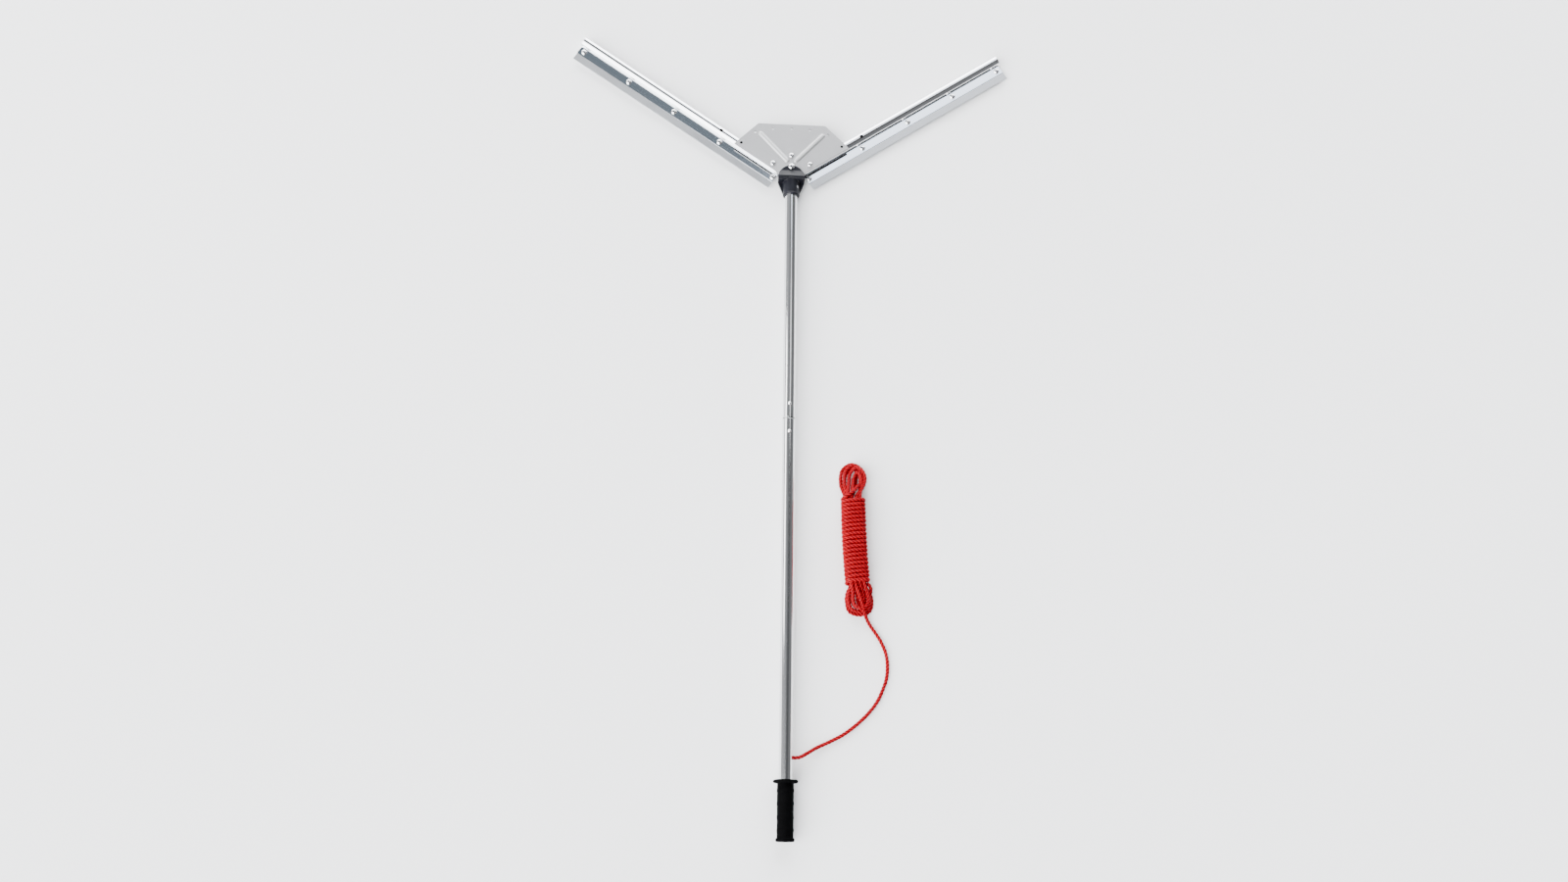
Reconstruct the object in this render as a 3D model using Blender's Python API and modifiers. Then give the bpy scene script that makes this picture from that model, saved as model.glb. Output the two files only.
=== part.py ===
"""V-shaped water-weed cutter, lying flat: two folding bladed arms on a gusset plate, a two-piece pole and a rope."""

from math import asin, cos, pi, radians, sin, tau

import bmesh
import bpy
from mathutils import Matrix, Vector

MM = 0.001

GAP = 0.3 * MM  # between pieces that touch
SLACK = 0.3 * MM  # radial room of a shank or a tube in its hole

# Pole
POLE_OD = 25.4 * MM
POLE_WALL = 1.5 * MM
UPPER_POLE_LENGTH = 521.5 * MM
LOWER_POLE_LENGTH = 810.0 * MM
SLEEVE_LENGTH = 106.0 * MM
SLEEVE_WALL = 1.4 * MM
BUTTON_FROM_SEAM = 29.0 * MM
BUTTON_DIAMETER = 6.8 * MM
BUTTON_RISE = 3.2 * MM
BUTTON_FLANGE = 1.5 * MM
BUTTON_FLANGE_RIM = 0.9 * MM
SPRING_THICKNESS = 0.6 * MM
SPRING_WIDTH = 5.0 * MM
SPRING_REACH = 24.0 * MM
SPRING_BACK = 3.0 * MM  # of both leaves past the button's axis
SPRING_SHOULDER = 4.0 * MM  # where the upper leaf starts down
SPRING_NOSE = 0.6 * MM  # half height of the bend

# Grip
GRIP_FLANGE_DIAMETER = 47.0 * MM
GRIP_FLANGE_THICKNESS = 5.5 * MM
GRIP_DIAMETER = 31.0 * MM
GRIP_RING_DIAMETER = 32.4 * MM
GRIP_RING_WIDTH = 3.0 * MM
GRIP_RIM_DIAMETER = 35.5 * MM
GRIP_RIM_THICKNESS = 6.0 * MM
GRIP_LENGTH = 111.0 * MM
GRIP_END_WALL = 4.0 * MM
GRIP_RINGS = 4

# Yoke, the black moulding between pole and plate. Y runs from the plate's front yoke screw.
YOKE_WALL = 3.8 * MM
SOCKET_DEPTH = 33.0 * MM
SOCKET_END_WALL = 4.0 * MM
FLANGE_RADIUS = 27.5 * MM
FLANGE_THICKNESS = 4.5 * MM
FLANGE_CENTRE = -24.0 * MM
BROW_RISE = 8.2 * MM
BROW_DEPTH = 9.0 * MM
WEB_THICKNESS = 7.0 * MM
WEB_END_HALF_WIDTH = 14.5 * MM
BRACKET_HALF_WIDTH = 13.0 * MM
BRACKET_THICKNESS = 4.0 * MM
BRACKET_MARGIN = 8.5 * MM
RIVET_DIAMETER = 4.0 * MM
RIVET_HEAD_DIAMETER = 7.0 * MM
RIVET_HEAD_RISE = 1.6 * MM
RIVET_FROM_LIP = 17.0 * MM
RIVET_ANGLE = radians(52)
RIVET_SEAT_DEPTH = 0.9 * MM
RIVET_TAIL = 1.2 * MM  # inside the pole

# Gusset plate
PLATE_THICKNESS = 3.0 * MM
PLATE_TOP_Y = 101.0 * MM
PLATE_TOP_HALF_WIDTH = 70.5 * MM
YOKE_SCREW_SPACING = 27.9 * MM
PIVOT_X = 38.9 * MM
PIVOT_Y = 8.3 * MM
PLATE_REACH = 92.0 * MM  # along each rail from its pivot
PLATE_INBOARD = 12.5 * MM  # the same, towards the handle
PLATE_INSET = 0.6 * MM  # of its lower edges from the rails' handle side
PLATE_FOOT_SHARE = 0.62  # of the lower corners' half width
INDEX_RADIUS = 81.0 * MM
INDEX_HOLE_DIAMETER = 5.8 * MM
CENTRE_HOLE_Y = 91.0 * MM
BEAD_WIDTH = 9.0 * MM
BEAD_RISE = 2.0 * MM
BEAD_INNER = (9.5 * MM, 16.5 * MM)
BEAD_OUTER = (65.0 * MM, 77.0 * MM)

# Arms: a round tube with a fin on its handle side, and a blade screwed on the fin
ARM_ANGLE = radians(34.3)
ARM_FOLD = radians(55.7)
RAIL_OD = 22.2 * MM
RAIL_WALL = 1.3 * MM
RAIL_LENGTH = 510.0 * MM
RAIL_INBOARD = 20.0 * MM  # rail and blade start this far inboard of the pivot
FIN_THICKNESS = 2.5 * MM
FIN_REACH = 28.5 * MM  # from the tube's axis
PLUG_CAP = 2.0 * MM
PLUG_SPIGOT = 8.0 * MM
BLADE_LENGTH = 508.0 * MM
BLADE_THICKNESS = 1.5 * MM
BLADE_FLAT = 17.6 * MM
BLADE_BEVEL = 16.3 * MM
BLADE_EDGE = 0.25 * MM
BLADE_LINE = 20.0 * MM  # blade screws, from the tube's axis
BLADE_SCREW_FIRST = 5.8 * MM  # from the rail's inner end
BLADE_SCREW_SECOND = 136.6 * MM
BLADE_SCREW_SPACING = 118.2 * MM
BLADE_SCREWS = 5
LOCK_HOLE_FAR = 132.0 * MM
LOCK_HOLE_DIAMETER = 7.5 * MM

# Screws and nuts
PIVOT_SHANK = 6.0 * MM
PIVOT_HEAD = 11.5 * MM
YOKE_SHANK = 6.0 * MM
YOKE_FLANGE_HEAD = 13.4 * MM
BLADE_SHANK = 5.0 * MM
BLADE_HEAD = 12.0 * MM
HEAD_RISE = 3.6 * MM
NUT_THICKNESS = 4.0 * MM
NUT_ACROSS_CORNERS = 11.0 * MM
THREAD_BEYOND_NUT = 1.5 * MM
BUSH_DIAMETER = 12.0 * MM

# Rope
ROPE_DIAMETER = 8.0 * MM
ROPE_HOLE_ABOVE_GRIP = 40.5 * MM
KNOT_DIAMETER = 15.0 * MM
HANK_WIDTH = 52.0 * MM
HANK_THICKNESS = 44.0 * MM
HANK_BOTTOM = (0.1390, -0.3825)
HANK_TOP = (0.1275, -0.1235)

# Heights above the surface that the tool lies on
POLE_Z = GRIP_FLANGE_DIAMETER / 2
RAIL_Z = RAIL_OD / 2
PLATE_Z = RAIL_OD + GAP
PLATE_TOP_Z = PLATE_Z + PLATE_THICKNESS
FLANGE_Z = PLATE_TOP_Z + GAP
FLANGE_TOP_Z = FLANGE_Z + FLANGE_THICKNESS
BRACKET_Z = PLATE_Z - GAP - BRACKET_THICKNESS
BLADE_Z = RAIL_Z - 2.3 * MM
BLADE_TOP_Z = BLADE_Z + BLADE_THICKNESS
FIN_Z = BLADE_Z - GAP - FIN_THICKNESS

# Places along Y. The origin is midway between the blade tips and the grip's end.
RAIL_TIP = RAIL_LENGTH - RAIL_INBOARD + PLUG_CAP
HEAD_REACH = PIVOT_Y + RAIL_TIP * sin(ARM_ANGLE) + RAIL_OD / 2 * cos(ARM_ANGLE)
BROW_FRONT = FLANGE_CENTRE - BROW_DEPTH
SOCKET_FACE = FLANGE_CENTRE - SOCKET_END_WALL
POLE_END = SOCKET_FACE - GAP - SOCKET_END_WALL
LIP = POLE_END - SOCKET_DEPTH
SEAM = POLE_END - UPPER_POLE_LENGTH
POLE_FOOT = SEAM - GAP - LOWER_POLE_LENGTH
GRIP_END = POLE_FOOT - GAP - GRIP_END_WALL
GRIP_TOP = GRIP_END + GRIP_LENGTH
HEAD_Y = -(HEAD_REACH + GRIP_END) / 2
ROPE_HOLE = GRIP_TOP + ROPE_HOLE_ABOVE_GRIP + HEAD_Y
POLE_BORE = POLE_OD / 2 - POLE_WALL
SLEEVE_RADIUS = POLE_BORE - GAP
SOCKET_RADIUS = POLE_OD / 2 + SLACK + YOKE_WALL
RAIL_BORE = RAIL_OD / 2 - RAIL_WALL

# The rope's free stretch, from the knot in the pole to the hank's lower end
ROPE_ROUTE = [
    (0.0095, ROPE_HOLE, POLE_Z),
    (0.0255, ROPE_HOLE + 0.0012, POLE_Z - 0.0006),
    (0.0420, ROPE_HOLE + 0.0102, 0.0165),
    (0.0610, ROPE_HOLE + 0.0220, 0.0070),
    (0.0840, -0.6470, 0.0044),
    (0.1100, -0.6330, 0.0043),
    (0.1340, -0.6150, 0.0043),
    (0.1550, -0.5950, 0.0043),
    (0.1720, -0.5740, 0.0043),
    (0.1840, -0.5500, 0.0043),
    (0.1920, -0.5270, 0.0043),
    (0.1945, -0.5050, 0.0043),
    (0.1920, -0.4800, 0.0043),
    (0.1825, -0.4560, 0.0043),
    (0.1690, -0.4350, 0.0043),
]


# ---------------------------------------------------------------- scene and helpers


def clear_scene():
    for obj in list(bpy.data.objects):
        bpy.data.objects.remove(obj)


def new_collection(name):
    collection = bpy.data.collections.new(name)
    bpy.context.scene.collection.children.link(collection)
    return collection


def new_material(name, colour, metallic, roughness):
    material = bpy.data.materials.new(name)
    material.use_nodes = True
    shader = material.node_tree.nodes["Principled BSDF"]
    shader.inputs["Base Color"].default_value = (*colour, 1)
    shader.inputs["Metallic"].default_value = metallic
    shader.inputs["Roughness"].default_value = roughness
    return material


def new_object(name, mesh, material=None, parent=None, location=(0, 0, 0), smooth=True):
    """Links a mesh as a part or, with no material, as a cutter."""
    obj = bpy.data.objects.new(name, mesh)
    obj.location = location
    obj.parent = parent
    if smooth:
        mesh.shade_smooth()
        mesh.set_sharp_from_angle(angle=radians(35))
    if material:
        parts.objects.link(obj)
        if not mesh.materials:
            mesh.materials.append(material)
    else:
        cutters.objects.link(obj)
        obj.hide_render = True
        obj.display_type = "WIRE"
    return obj


def evaluated_mesh(obj):
    """The object's mesh with its modifiers applied. The object itself is removed."""
    bpy.context.view_layer.update()
    graph = bpy.context.evaluated_depsgraph_get()
    mesh = bpy.data.meshes.new_from_object(obj.evaluated_get(graph))
    bpy.data.objects.remove(obj)
    work = bmesh.new()
    work.from_mesh(mesh)
    bmesh.ops.remove_doubles(work, verts=work.verts, dist=0.00001)
    work.to_mesh(mesh)
    work.free()
    return mesh


def cylinder_mesh(radius, length, segments=32, matrix=None):
    """A cylinder along Z, centred, or turned by a matrix."""
    mesh = bpy.data.meshes.new("cylinder")
    work = bmesh.new()
    bmesh.ops.create_cone(work, cap_ends=True, segments=segments, radius1=radius, radius2=radius, depth=length)
    work.to_mesh(mesh)
    work.free()
    if matrix:
        mesh.transform(matrix)
    return mesh


def box_mesh(size, centre=(0, 0, 0)):
    mesh = bpy.data.meshes.new("box")
    work = bmesh.new()
    bmesh.ops.create_cube(work, size=1)
    work.to_mesh(mesh)
    work.free()
    mesh.transform(Matrix.Translation(centre) @ Matrix.Diagonal((*size, 1)))
    return mesh


def turned_mesh(profile, steps=32, inner=()):
    """A profile of (radius, height) points, run down its outer side, turned about Z.

    inner runs on from the axis up a blind bore. A profile that starts off the axis is closed to its start.
    """
    mesh = bpy.data.meshes.new("turned")
    work = bmesh.new()
    points = [work.verts.new((radius, 0, height)) for radius, height in profile]
    bore = [work.verts.new((radius, 0, height)) for radius, height in inner]
    for side in (points, bore):
        for start, end in zip(side, side[1:]):
            work.edges.new((start, end))
    if profile[0][0] > 0:
        work.edges.new(((bore or points)[-1], points[0]))
    work.to_mesh(mesh)
    work.free()
    obj = bpy.data.objects.new("turned", mesh)
    bpy.context.scene.collection.objects.link(obj)
    screw = obj.modifiers.new("Screw", "SCREW")
    screw.steps = screw.render_steps = steps
    screw.use_merge_vertices = True
    screw.merge_threshold = 0.00001
    return evaluated_mesh(obj)


def outline_mesh(outlines, thickness, rounding=0.0):
    """Flat outlines in XY, the first the outer edge and the rest holes, filled and extruded from z = 0."""
    curve = bpy.data.curves.new("outline", "CURVE")
    curve.dimensions = "2D"
    curve.fill_mode = "BOTH"
    curve.extrude = thickness / 2 - rounding
    curve.bevel_depth = rounding
    curve.bevel_resolution = 2
    for points in outlines:
        spline = curve.splines.new("POLY")
        spline.points.add(len(points) - 1)
        for point, (x, y) in zip(spline.points, points):
            point.co = (x, y, 0, 1)
        spline.use_cyclic_u = True
    obj = bpy.data.objects.new("outline", curve)
    bpy.context.scene.collection.objects.link(obj)
    mesh = evaluated_mesh(obj)
    mesh.transform(Matrix.Translation((0, 0, thickness / 2)))
    return mesh


def arc(centre, radius, start, end, steps):
    angles = [start + (end - start) * i / steps for i in range(steps + 1)]
    return [(centre[0] + radius * cos(angle), centre[1] + radius * sin(angle)) for angle in angles]


def circle(centre, radius, steps=20):
    return arc(centre, radius, 0, tau, steps)[:-1]


def boolean(obj, other, operation="DIFFERENCE"):
    modifier = obj.modifiers.new(operation.title(), "BOOLEAN")
    modifier.operation = operation
    modifier.object = other


def cut_round(obj, radius, length, centre, axis="Z", segments=20):
    """Cuts a round hole along a parent axis through a point."""
    turn = {"X": Matrix.Rotation(pi / 2, 4, "Y"), "Y": Matrix.Rotation(pi / 2, 4, "X"), "Z": Matrix()}[axis]
    mesh = cylinder_mesh(radius, length, segments, turn)
    boolean(obj, new_object(obj.name + "_hole", mesh, parent=obj.parent, location=centre))


# Turns a section drawn in XY and extruded along Z into one drawn in YZ and extruded along X
SECTION_TO_X = Matrix(((0, 0, 1, 0), (1, 0, 0, 0), (0, 1, 0, 0), (0, 0, 0, 1)))
# Lays a piece turned about Z along Y, its top towards +Y
TURNED_TO_Y = Matrix.Rotation(-pi / 2, 4, "X")


# ---------------------------------------------------------------- screws and nuts


def pan_screw_mesh(shank, head, length, rise=HEAD_RISE):
    """Pan-head screw standing on z = 0 under its head, with a cross recess."""
    radius = head / 2
    profile = [
        (0, rise),
        (radius * 0.45, rise * 0.95),
        (radius * 0.8, rise * 0.7),
        (radius, rise * 0.3),
        (radius, 0),
        (shank / 2, 0),
        (shank / 2, -length),
        (0, -length),
    ]
    screw = new_object("screw", turned_mesh(profile, 20), steel)
    for turn in (0, pi / 2):
        slot = box_mesh((head * 0.42, head * 0.11, rise * 0.9), (0, 0, rise))
        slot.transform(Matrix.Rotation(turn + pi / 4, 4, "Z"))
        boolean(screw, new_object("recess", slot))
    mesh = evaluated_mesh(screw)
    for cutter in [obj for obj in cutters.objects if obj.name.startswith("recess")]:
        bpy.data.objects.remove(cutter)
    return mesh


def nut_mesh(shank):
    """Hexagonal nut hanging from z = 0."""
    bore = circle((0, 0), shank / 2 + SLACK, 16)
    hexagon = circle((0, 0), NUT_ACROSS_CORNERS / 2, 6)
    mesh = outline_mesh([hexagon, bore], NUT_THICKNESS)
    mesh.transform(Matrix.Translation((0, 0, -NUT_THICKNESS)))
    return mesh


# ---------------------------------------------------------------- arms


def rail_section(side):
    """Tube and fin in one extrusion, as (y, z) from the tube's axis. The fin points to the handle."""
    radius = RAIL_OD / 2
    low = FIN_Z - RAIL_Z
    high = low + FIN_THICKNESS
    outer = arc((0, 0), radius, asin(high / radius), tau + asin(low / radius), 32)
    outer += [(FIN_REACH, low), (FIN_REACH, high)]
    bore = circle((0, 0), RAIL_BORE, 28)
    return [[(-side * y, z) for y, z in points] for points in (outer, bore)]


def blade_section(side):
    """Flat strip with a ground bevel, as (y, z) from the tube's axis at the blade's underside."""
    back = RAIL_OD / 2 + GAP
    edge = back + BLADE_FLAT + BLADE_BEVEL
    points = [
        (back, 0),
        (edge, 0),
        (edge, BLADE_EDGE),
        (back + BLADE_FLAT, BLADE_THICKNESS),
        (back, BLADE_THICKNESS),
    ]
    return [(-side * y, z) for y, z in points]


def blade_screw_places():
    first = BLADE_SCREW_FIRST - RAIL_INBOARD
    second = first + BLADE_SCREW_SECOND
    return [first] + [second + BLADE_SCREW_SPACING * i for i in range(BLADE_SCREWS - 1)]


def make_rail(label, side, arm):
    mesh = outline_mesh(rail_section(side), RAIL_LENGTH)
    mesh.transform(Matrix.Translation((-RAIL_INBOARD, 0, 0)) @ SECTION_TO_X)
    rail = new_object(label + "_rail", mesh, extruded, arm, (0, 0, RAIL_Z))
    top_wall = (0, 0, RAIL_OD * 0.75 + GAP)
    cut_round(rail, PIVOT_SHANK / 2 + SLACK, RAIL_OD / 2, top_wall)
    for along, diameter in ((INDEX_RADIUS, INDEX_HOLE_DIAMETER), (LOCK_HOLE_FAR, LOCK_HOLE_DIAMETER)):
        cut_round(rail, diameter / 2, RAIL_OD / 2, (along, 0, top_wall[2]))
    for along in blade_screw_places():
        cut_round(rail, BLADE_SHANK / 2 + SLACK, FIN_THICKNESS * 3, (along, -side * BLADE_LINE, FIN_Z), segments=16)


def make_blade(label, side, arm):
    mesh = outline_mesh([blade_section(side)], BLADE_LENGTH)
    mesh.transform(Matrix.Translation((-RAIL_INBOARD, 0, 0)) @ SECTION_TO_X)
    blade = new_object(label + "_blade", mesh, stainless, arm, (0, 0, BLADE_Z))
    for along in blade_screw_places():
        cut_round(blade, BLADE_SHANK / 2 + SLACK, BLADE_THICKNESS * 4, (along, -side * BLADE_LINE, BLADE_Z), segments=16)


def make_blade_fixings(label, side, arm):
    grip_length = GAP + BLADE_THICKNESS + GAP + FIN_THICKNESS + GAP + NUT_THICKNESS + THREAD_BEYOND_NUT
    screw = pan_screw_mesh(BLADE_SHANK, BLADE_HEAD, grip_length)
    nut = nut_mesh(BLADE_SHANK)
    for number, along in enumerate(blade_screw_places(), 1):
        place = (along, -side * BLADE_LINE)
        new_object(f"{label}_blade_screw_{number}", screw, steel, arm, (*place, BLADE_TOP_Z + GAP))
        new_object(f"{label}_blade_nut_{number}", nut, steel, arm, (*place, FIN_Z - GAP))


def make_plugs(label, arm):
    """Caps pushed into both ends of the rail's tube."""
    spigot = RAIL_BORE - SLACK
    profile = [
        (0, PLUG_CAP + GAP),
        (RAIL_OD / 2, PLUG_CAP + GAP),
        (RAIL_OD / 2, GAP),
        (spigot, GAP),
        (spigot, -PLUG_SPIGOT),
        (0, -PLUG_SPIGOT),
    ]
    inward = Matrix.Rotation(-pi / 2, 4, "Y")
    outward = Matrix.Rotation(pi / 2, 4, "Y")
    for place, turn, along, material in (
        ("inner", inward, -RAIL_INBOARD, black_plastic),
        ("outer", outward, RAIL_LENGTH - RAIL_INBOARD, extruded),
    ):
        mesh = turned_mesh(profile, 28)
        mesh.transform(turn)
        new_object(f"{label}_rail_plug_{place}", mesh, material, arm, (along, 0, RAIL_Z))


def make_pivot(label, arm):
    """Pivot screw down through plate and tube wall into a threaded bush inside the tube."""
    half = RAIL_BORE * cos(asin(BUSH_DIAMETER / 2 / RAIL_BORE)) - GAP
    bush_top = RAIL_Z + half
    length = PLATE_TOP_Z + GAP - bush_top + half
    screw = pan_screw_mesh(PIVOT_SHANK, PIVOT_HEAD, length)
    new_object(label + "_pivot_screw", screw, steel, arm, (0, 0, PLATE_TOP_Z + GAP))
    bush = outline_mesh([circle((0, 0), BUSH_DIAMETER / 2, 24), circle((0, 0), PIVOT_SHANK / 2 + SLACK, 16)], 2 * half)
    new_object(label + "_pivot_bush", bush, steel, arm, (0, 0, RAIL_Z - half))


def make_arm(label, side):
    """side is 1 for the arm at +X and -1 for the other. Local X runs out along the rail."""
    arm = bpy.data.objects.new(label + "_arm_axis", None)
    arm.location = (side * PIVOT_X, HEAD_Y + PIVOT_Y, 0)
    arm.rotation_euler.z = ARM_ANGLE if side > 0 else pi - ARM_ANGLE
    parts.objects.link(arm)
    make_rail(label, side, arm)
    make_blade(label, side, arm)
    make_blade_fixings(label, side, arm)
    make_plugs(label, arm)
    make_pivot(label, arm)


# ---------------------------------------------------------------- gusset plate and yoke


def index_places():
    """Lock holes on an arc about each pivot: arms open, halfway and folded."""
    places = []
    for step in range(3):
        angle = ARM_ANGLE + ARM_FOLD * step / 2
        x = PIVOT_X + INDEX_RADIUS * cos(angle)
        y = PIVOT_Y + INDEX_RADIUS * sin(angle)
        places += [(x, y), (-x, y)]
    return places


def plate_outline():
    """Right half from the top centre down: its long lower edges follow the rails' handle side."""
    edge = RAIL_OD / 2 - PLATE_INSET
    along = Vector((cos(ARM_ANGLE), sin(ARM_ANGLE)))
    across = Vector((sin(ARM_ANGLE), -cos(ARM_ANGLE)))
    corner = Vector((PIVOT_X, PIVOT_Y)) + along * PLATE_REACH + across * edge
    foot = FLANGE_CENTRE + GAP
    start = Vector((PIVOT_X, PIVOT_Y)) + across * edge
    low = start - along * PLATE_INBOARD
    half = [(PLATE_TOP_HALF_WIDTH, PLATE_TOP_Y), tuple(corner), tuple(low), (low.x * PLATE_FOOT_SHARE, foot)]
    return half + [(-x, y) for x, y in reversed(half)]


def make_bead(side):
    start = Vector((side * BEAD_INNER[0], BEAD_INNER[1]))
    end = Vector((side * BEAD_OUTER[0], BEAD_OUTER[1]))
    angle = (end - start).angle_signed(Vector((1, 0)))
    radius = BEAD_WIDTH / 2 - BEAD_RISE
    outline = arc(end, radius, angle - pi / 2, angle + pi / 2, 8) + arc(start, radius, angle + pi / 2, angle + 3 * pi / 2, 8)
    mesh = outline_mesh([outline], 2 * BEAD_RISE, BEAD_RISE * 0.98)
    return new_object("gusset_plate_bead", mesh, location=(0, HEAD_Y, PLATE_TOP_Z - BEAD_RISE))


def make_plate():
    holes = [circle(place, INDEX_HOLE_DIAMETER / 2) for place in index_places()]
    holes += [circle((side * PIVOT_X, PIVOT_Y), PIVOT_SHANK / 2 + SLACK) for side in (1, -1)]
    holes += [circle((0, y), YOKE_SHANK / 2 + SLACK) for y in (0, YOKE_SCREW_SPACING)]
    holes += [circle((0, CENTRE_HOLE_Y), INDEX_HOLE_DIAMETER / 2)]
    mesh = outline_mesh([plate_outline()] + holes, PLATE_THICKNESS)
    plate = new_object("gusset_plate", mesh, sheet, location=(0, HEAD_Y, PLATE_Z))
    for side in (1, -1):
        boolean(plate, make_bead(side), "UNION")


def make_yoke():
    """Socket for the pole, webs beside it, and a domed flange that laps over the plate."""
    length = SOCKET_FACE - LIP
    turn = Matrix.Translation((0, SOCKET_FACE - length / 2, 0)) @ Matrix.Rotation(pi / 2, 4, "X")
    yoke = new_object("yoke", cylinder_mesh(SOCKET_RADIUS, length, 40, turn), black_plastic, location=(0, HEAD_Y, POLE_Z))
    web = [
        (FLANGE_RADIUS - 0.5 * MM, FLANGE_CENTRE - 2 * MM),
        (FLANGE_RADIUS - 0.5 * MM, BROW_FRONT - 2 * MM),
        (WEB_END_HALF_WIDTH, LIP),
    ]
    web += [(-x, y) for x, y in reversed(web)]
    web_z = BRACKET_Z - GAP
    pieces = [(web, web_z - WEB_THICKNESS / 2, WEB_THICKNESS)]
    block = [(FLANGE_RADIUS, FLANGE_CENTRE), (FLANGE_RADIUS, BROW_FRONT)]
    block += [(-x, y) for x, y in reversed(block)]
    pieces.append((block, web_z - WEB_THICKNESS / 2 - 0.5 * MM, FLANGE_TOP_Z - web_z))
    dome = arc((0, FLANGE_CENTRE), FLANGE_RADIUS, 0, pi, 24) + [(-FLANGE_RADIUS, BROW_FRONT), (FLANGE_RADIUS, BROW_FRONT)]
    pieces.append((dome, FLANGE_Z, FLANGE_THICKNESS + BROW_RISE))
    for outline, z, thickness in pieces:
        mesh = outline_mesh([outline], thickness)
        boolean(yoke, new_object("yoke_piece", mesh, location=(0, HEAD_Y, z)), "UNION")
    make_brow_slope(yoke)
    cut_round(yoke, POLE_OD / 2 + SLACK, 2 * SOCKET_DEPTH, (0, HEAD_Y + POLE_END - SOCKET_DEPTH, POLE_Z), "Y", 40)
    cut_round(yoke, YOKE_SHANK / 2 + SLACK, 4 * FLANGE_THICKNESS, (0, HEAD_Y, FLANGE_Z), segments=16)
    boolean(yoke, make_rivet_hole())


def make_brow_slope(yoke):
    """Slopes the dome up from the flat seat of its screw to the brow."""
    seat = -(YOKE_FLANGE_HEAD / 2 + 1.5 * MM)
    size = 4 * FLANGE_RADIUS
    flat = box_mesh((size, size, size), (0, seat + size / 2, size / 2))
    boolean(yoke, new_object("brow_seat", flat, location=(0, HEAD_Y, FLANGE_TOP_Z)))
    run = seat - FLANGE_CENTRE
    slope = Vector((0, -run, BROW_RISE))
    wedge = box_mesh((size, size, size), (0, 0, size / 2))
    wedge.transform(Matrix.Rotation(-Vector((0, -1, 0)).angle(slope), 4, "X"))
    boolean(yoke, new_object("brow_slope", wedge, location=(0, HEAD_Y + seat, FLANGE_TOP_Z)))


def rivet_matrix():
    """From the rivet's own frame, Z out of the pole, to its place on the socket's flank."""
    return Matrix.Translation((0, HEAD_Y + LIP + RIVET_FROM_LIP, POLE_Z)) @ Matrix.Rotation(RIVET_ANGLE, 4, "Y")


def make_rivet_hole():
    """Hole for the rivet, with a flat seat for its head, in socket and pole."""
    hole = new_object("rivet_hole", cylinder_mesh(RIVET_DIAMETER / 2 + SLACK, POLE_OD, 16))
    hole.data.transform(rivet_matrix() @ Matrix.Translation((0, 0, POLE_OD / 2 + POLE_BORE * 0.8)))
    seat = new_object("rivet_seat", cylinder_mesh(RIVET_HEAD_DIAMETER / 2 + SLACK, SOCKET_RADIUS, 20))
    seat.data.transform(rivet_matrix() @ Matrix.Translation((0, 0, SOCKET_RADIUS * 1.5 - RIVET_SEAT_DEPTH)))
    boolean(hole, seat, "UNION")
    return hole


def make_rivet():
    seat = SOCKET_RADIUS - RIVET_SEAT_DEPTH + GAP
    radius = RIVET_HEAD_DIAMETER / 2
    inner = POLE_BORE - RIVET_TAIL
    profile = [
        (0, seat + RIVET_HEAD_RISE),
        (radius * 0.6, seat + RIVET_HEAD_RISE * 0.8),
        (radius, seat + RIVET_HEAD_RISE * 0.2),
        (radius, seat),
        (RIVET_DIAMETER / 2, seat),
        (RIVET_DIAMETER / 2, inner),
        (0, inner),
    ]
    rivet = new_object("pole_rivet", turned_mesh(profile, 20), black_plastic)
    rivet.matrix_world = rivet_matrix()


def make_bracket():
    """Stiffening tongue under the plate, between the rails' inner ends."""
    top = YOKE_SCREW_SPACING + BRACKET_MARGIN - BRACKET_HALF_WIDTH
    foot = FLANGE_CENTRE + GAP
    outline = arc((0, top), BRACKET_HALF_WIDTH, 0, pi, 16) + [(-BRACKET_HALF_WIDTH, foot), (BRACKET_HALF_WIDTH, foot)]
    holes = [circle((0, y), YOKE_SHANK / 2 + SLACK, 16) for y in (0, YOKE_SCREW_SPACING)]
    mesh = outline_mesh([outline] + holes, BRACKET_THICKNESS)
    new_object("yoke_rear_bracket", mesh, black_plastic, location=(0, HEAD_Y, BRACKET_Z))


def make_yoke_fixings():
    nut = nut_mesh(YOKE_SHANK)
    below = GAP + NUT_THICKNESS + THREAD_BEYOND_NUT
    for label, y, head, under in (
        ("front", 0, YOKE_FLANGE_HEAD, FLANGE_TOP_Z + GAP),
        ("back", YOKE_SCREW_SPACING, PIVOT_HEAD, PLATE_TOP_Z + GAP),
    ):
        screw = pan_screw_mesh(YOKE_SHANK, head, under - BRACKET_Z + below)
        new_object(f"yoke_screw_{label}", screw, steel, location=(0, HEAD_Y + y, under))
        new_object(f"yoke_nut_{label}", nut, steel, location=(0, HEAD_Y + y, BRACKET_Z - GAP))


# ---------------------------------------------------------------- pole and grip


def tube_along_y(name, radius, wall, top, length, material, steps=36):
    """Open tube along Y on the pole's axis, hanging down from its top end."""
    profile = [(radius, 0), (radius, -length), (radius - wall, -length), (radius - wall, 0)]
    mesh = turned_mesh(profile, steps)
    mesh.transform(TURNED_TO_Y)
    return new_object(name, mesh, material, location=(0, HEAD_Y + top, POLE_Z))


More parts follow.
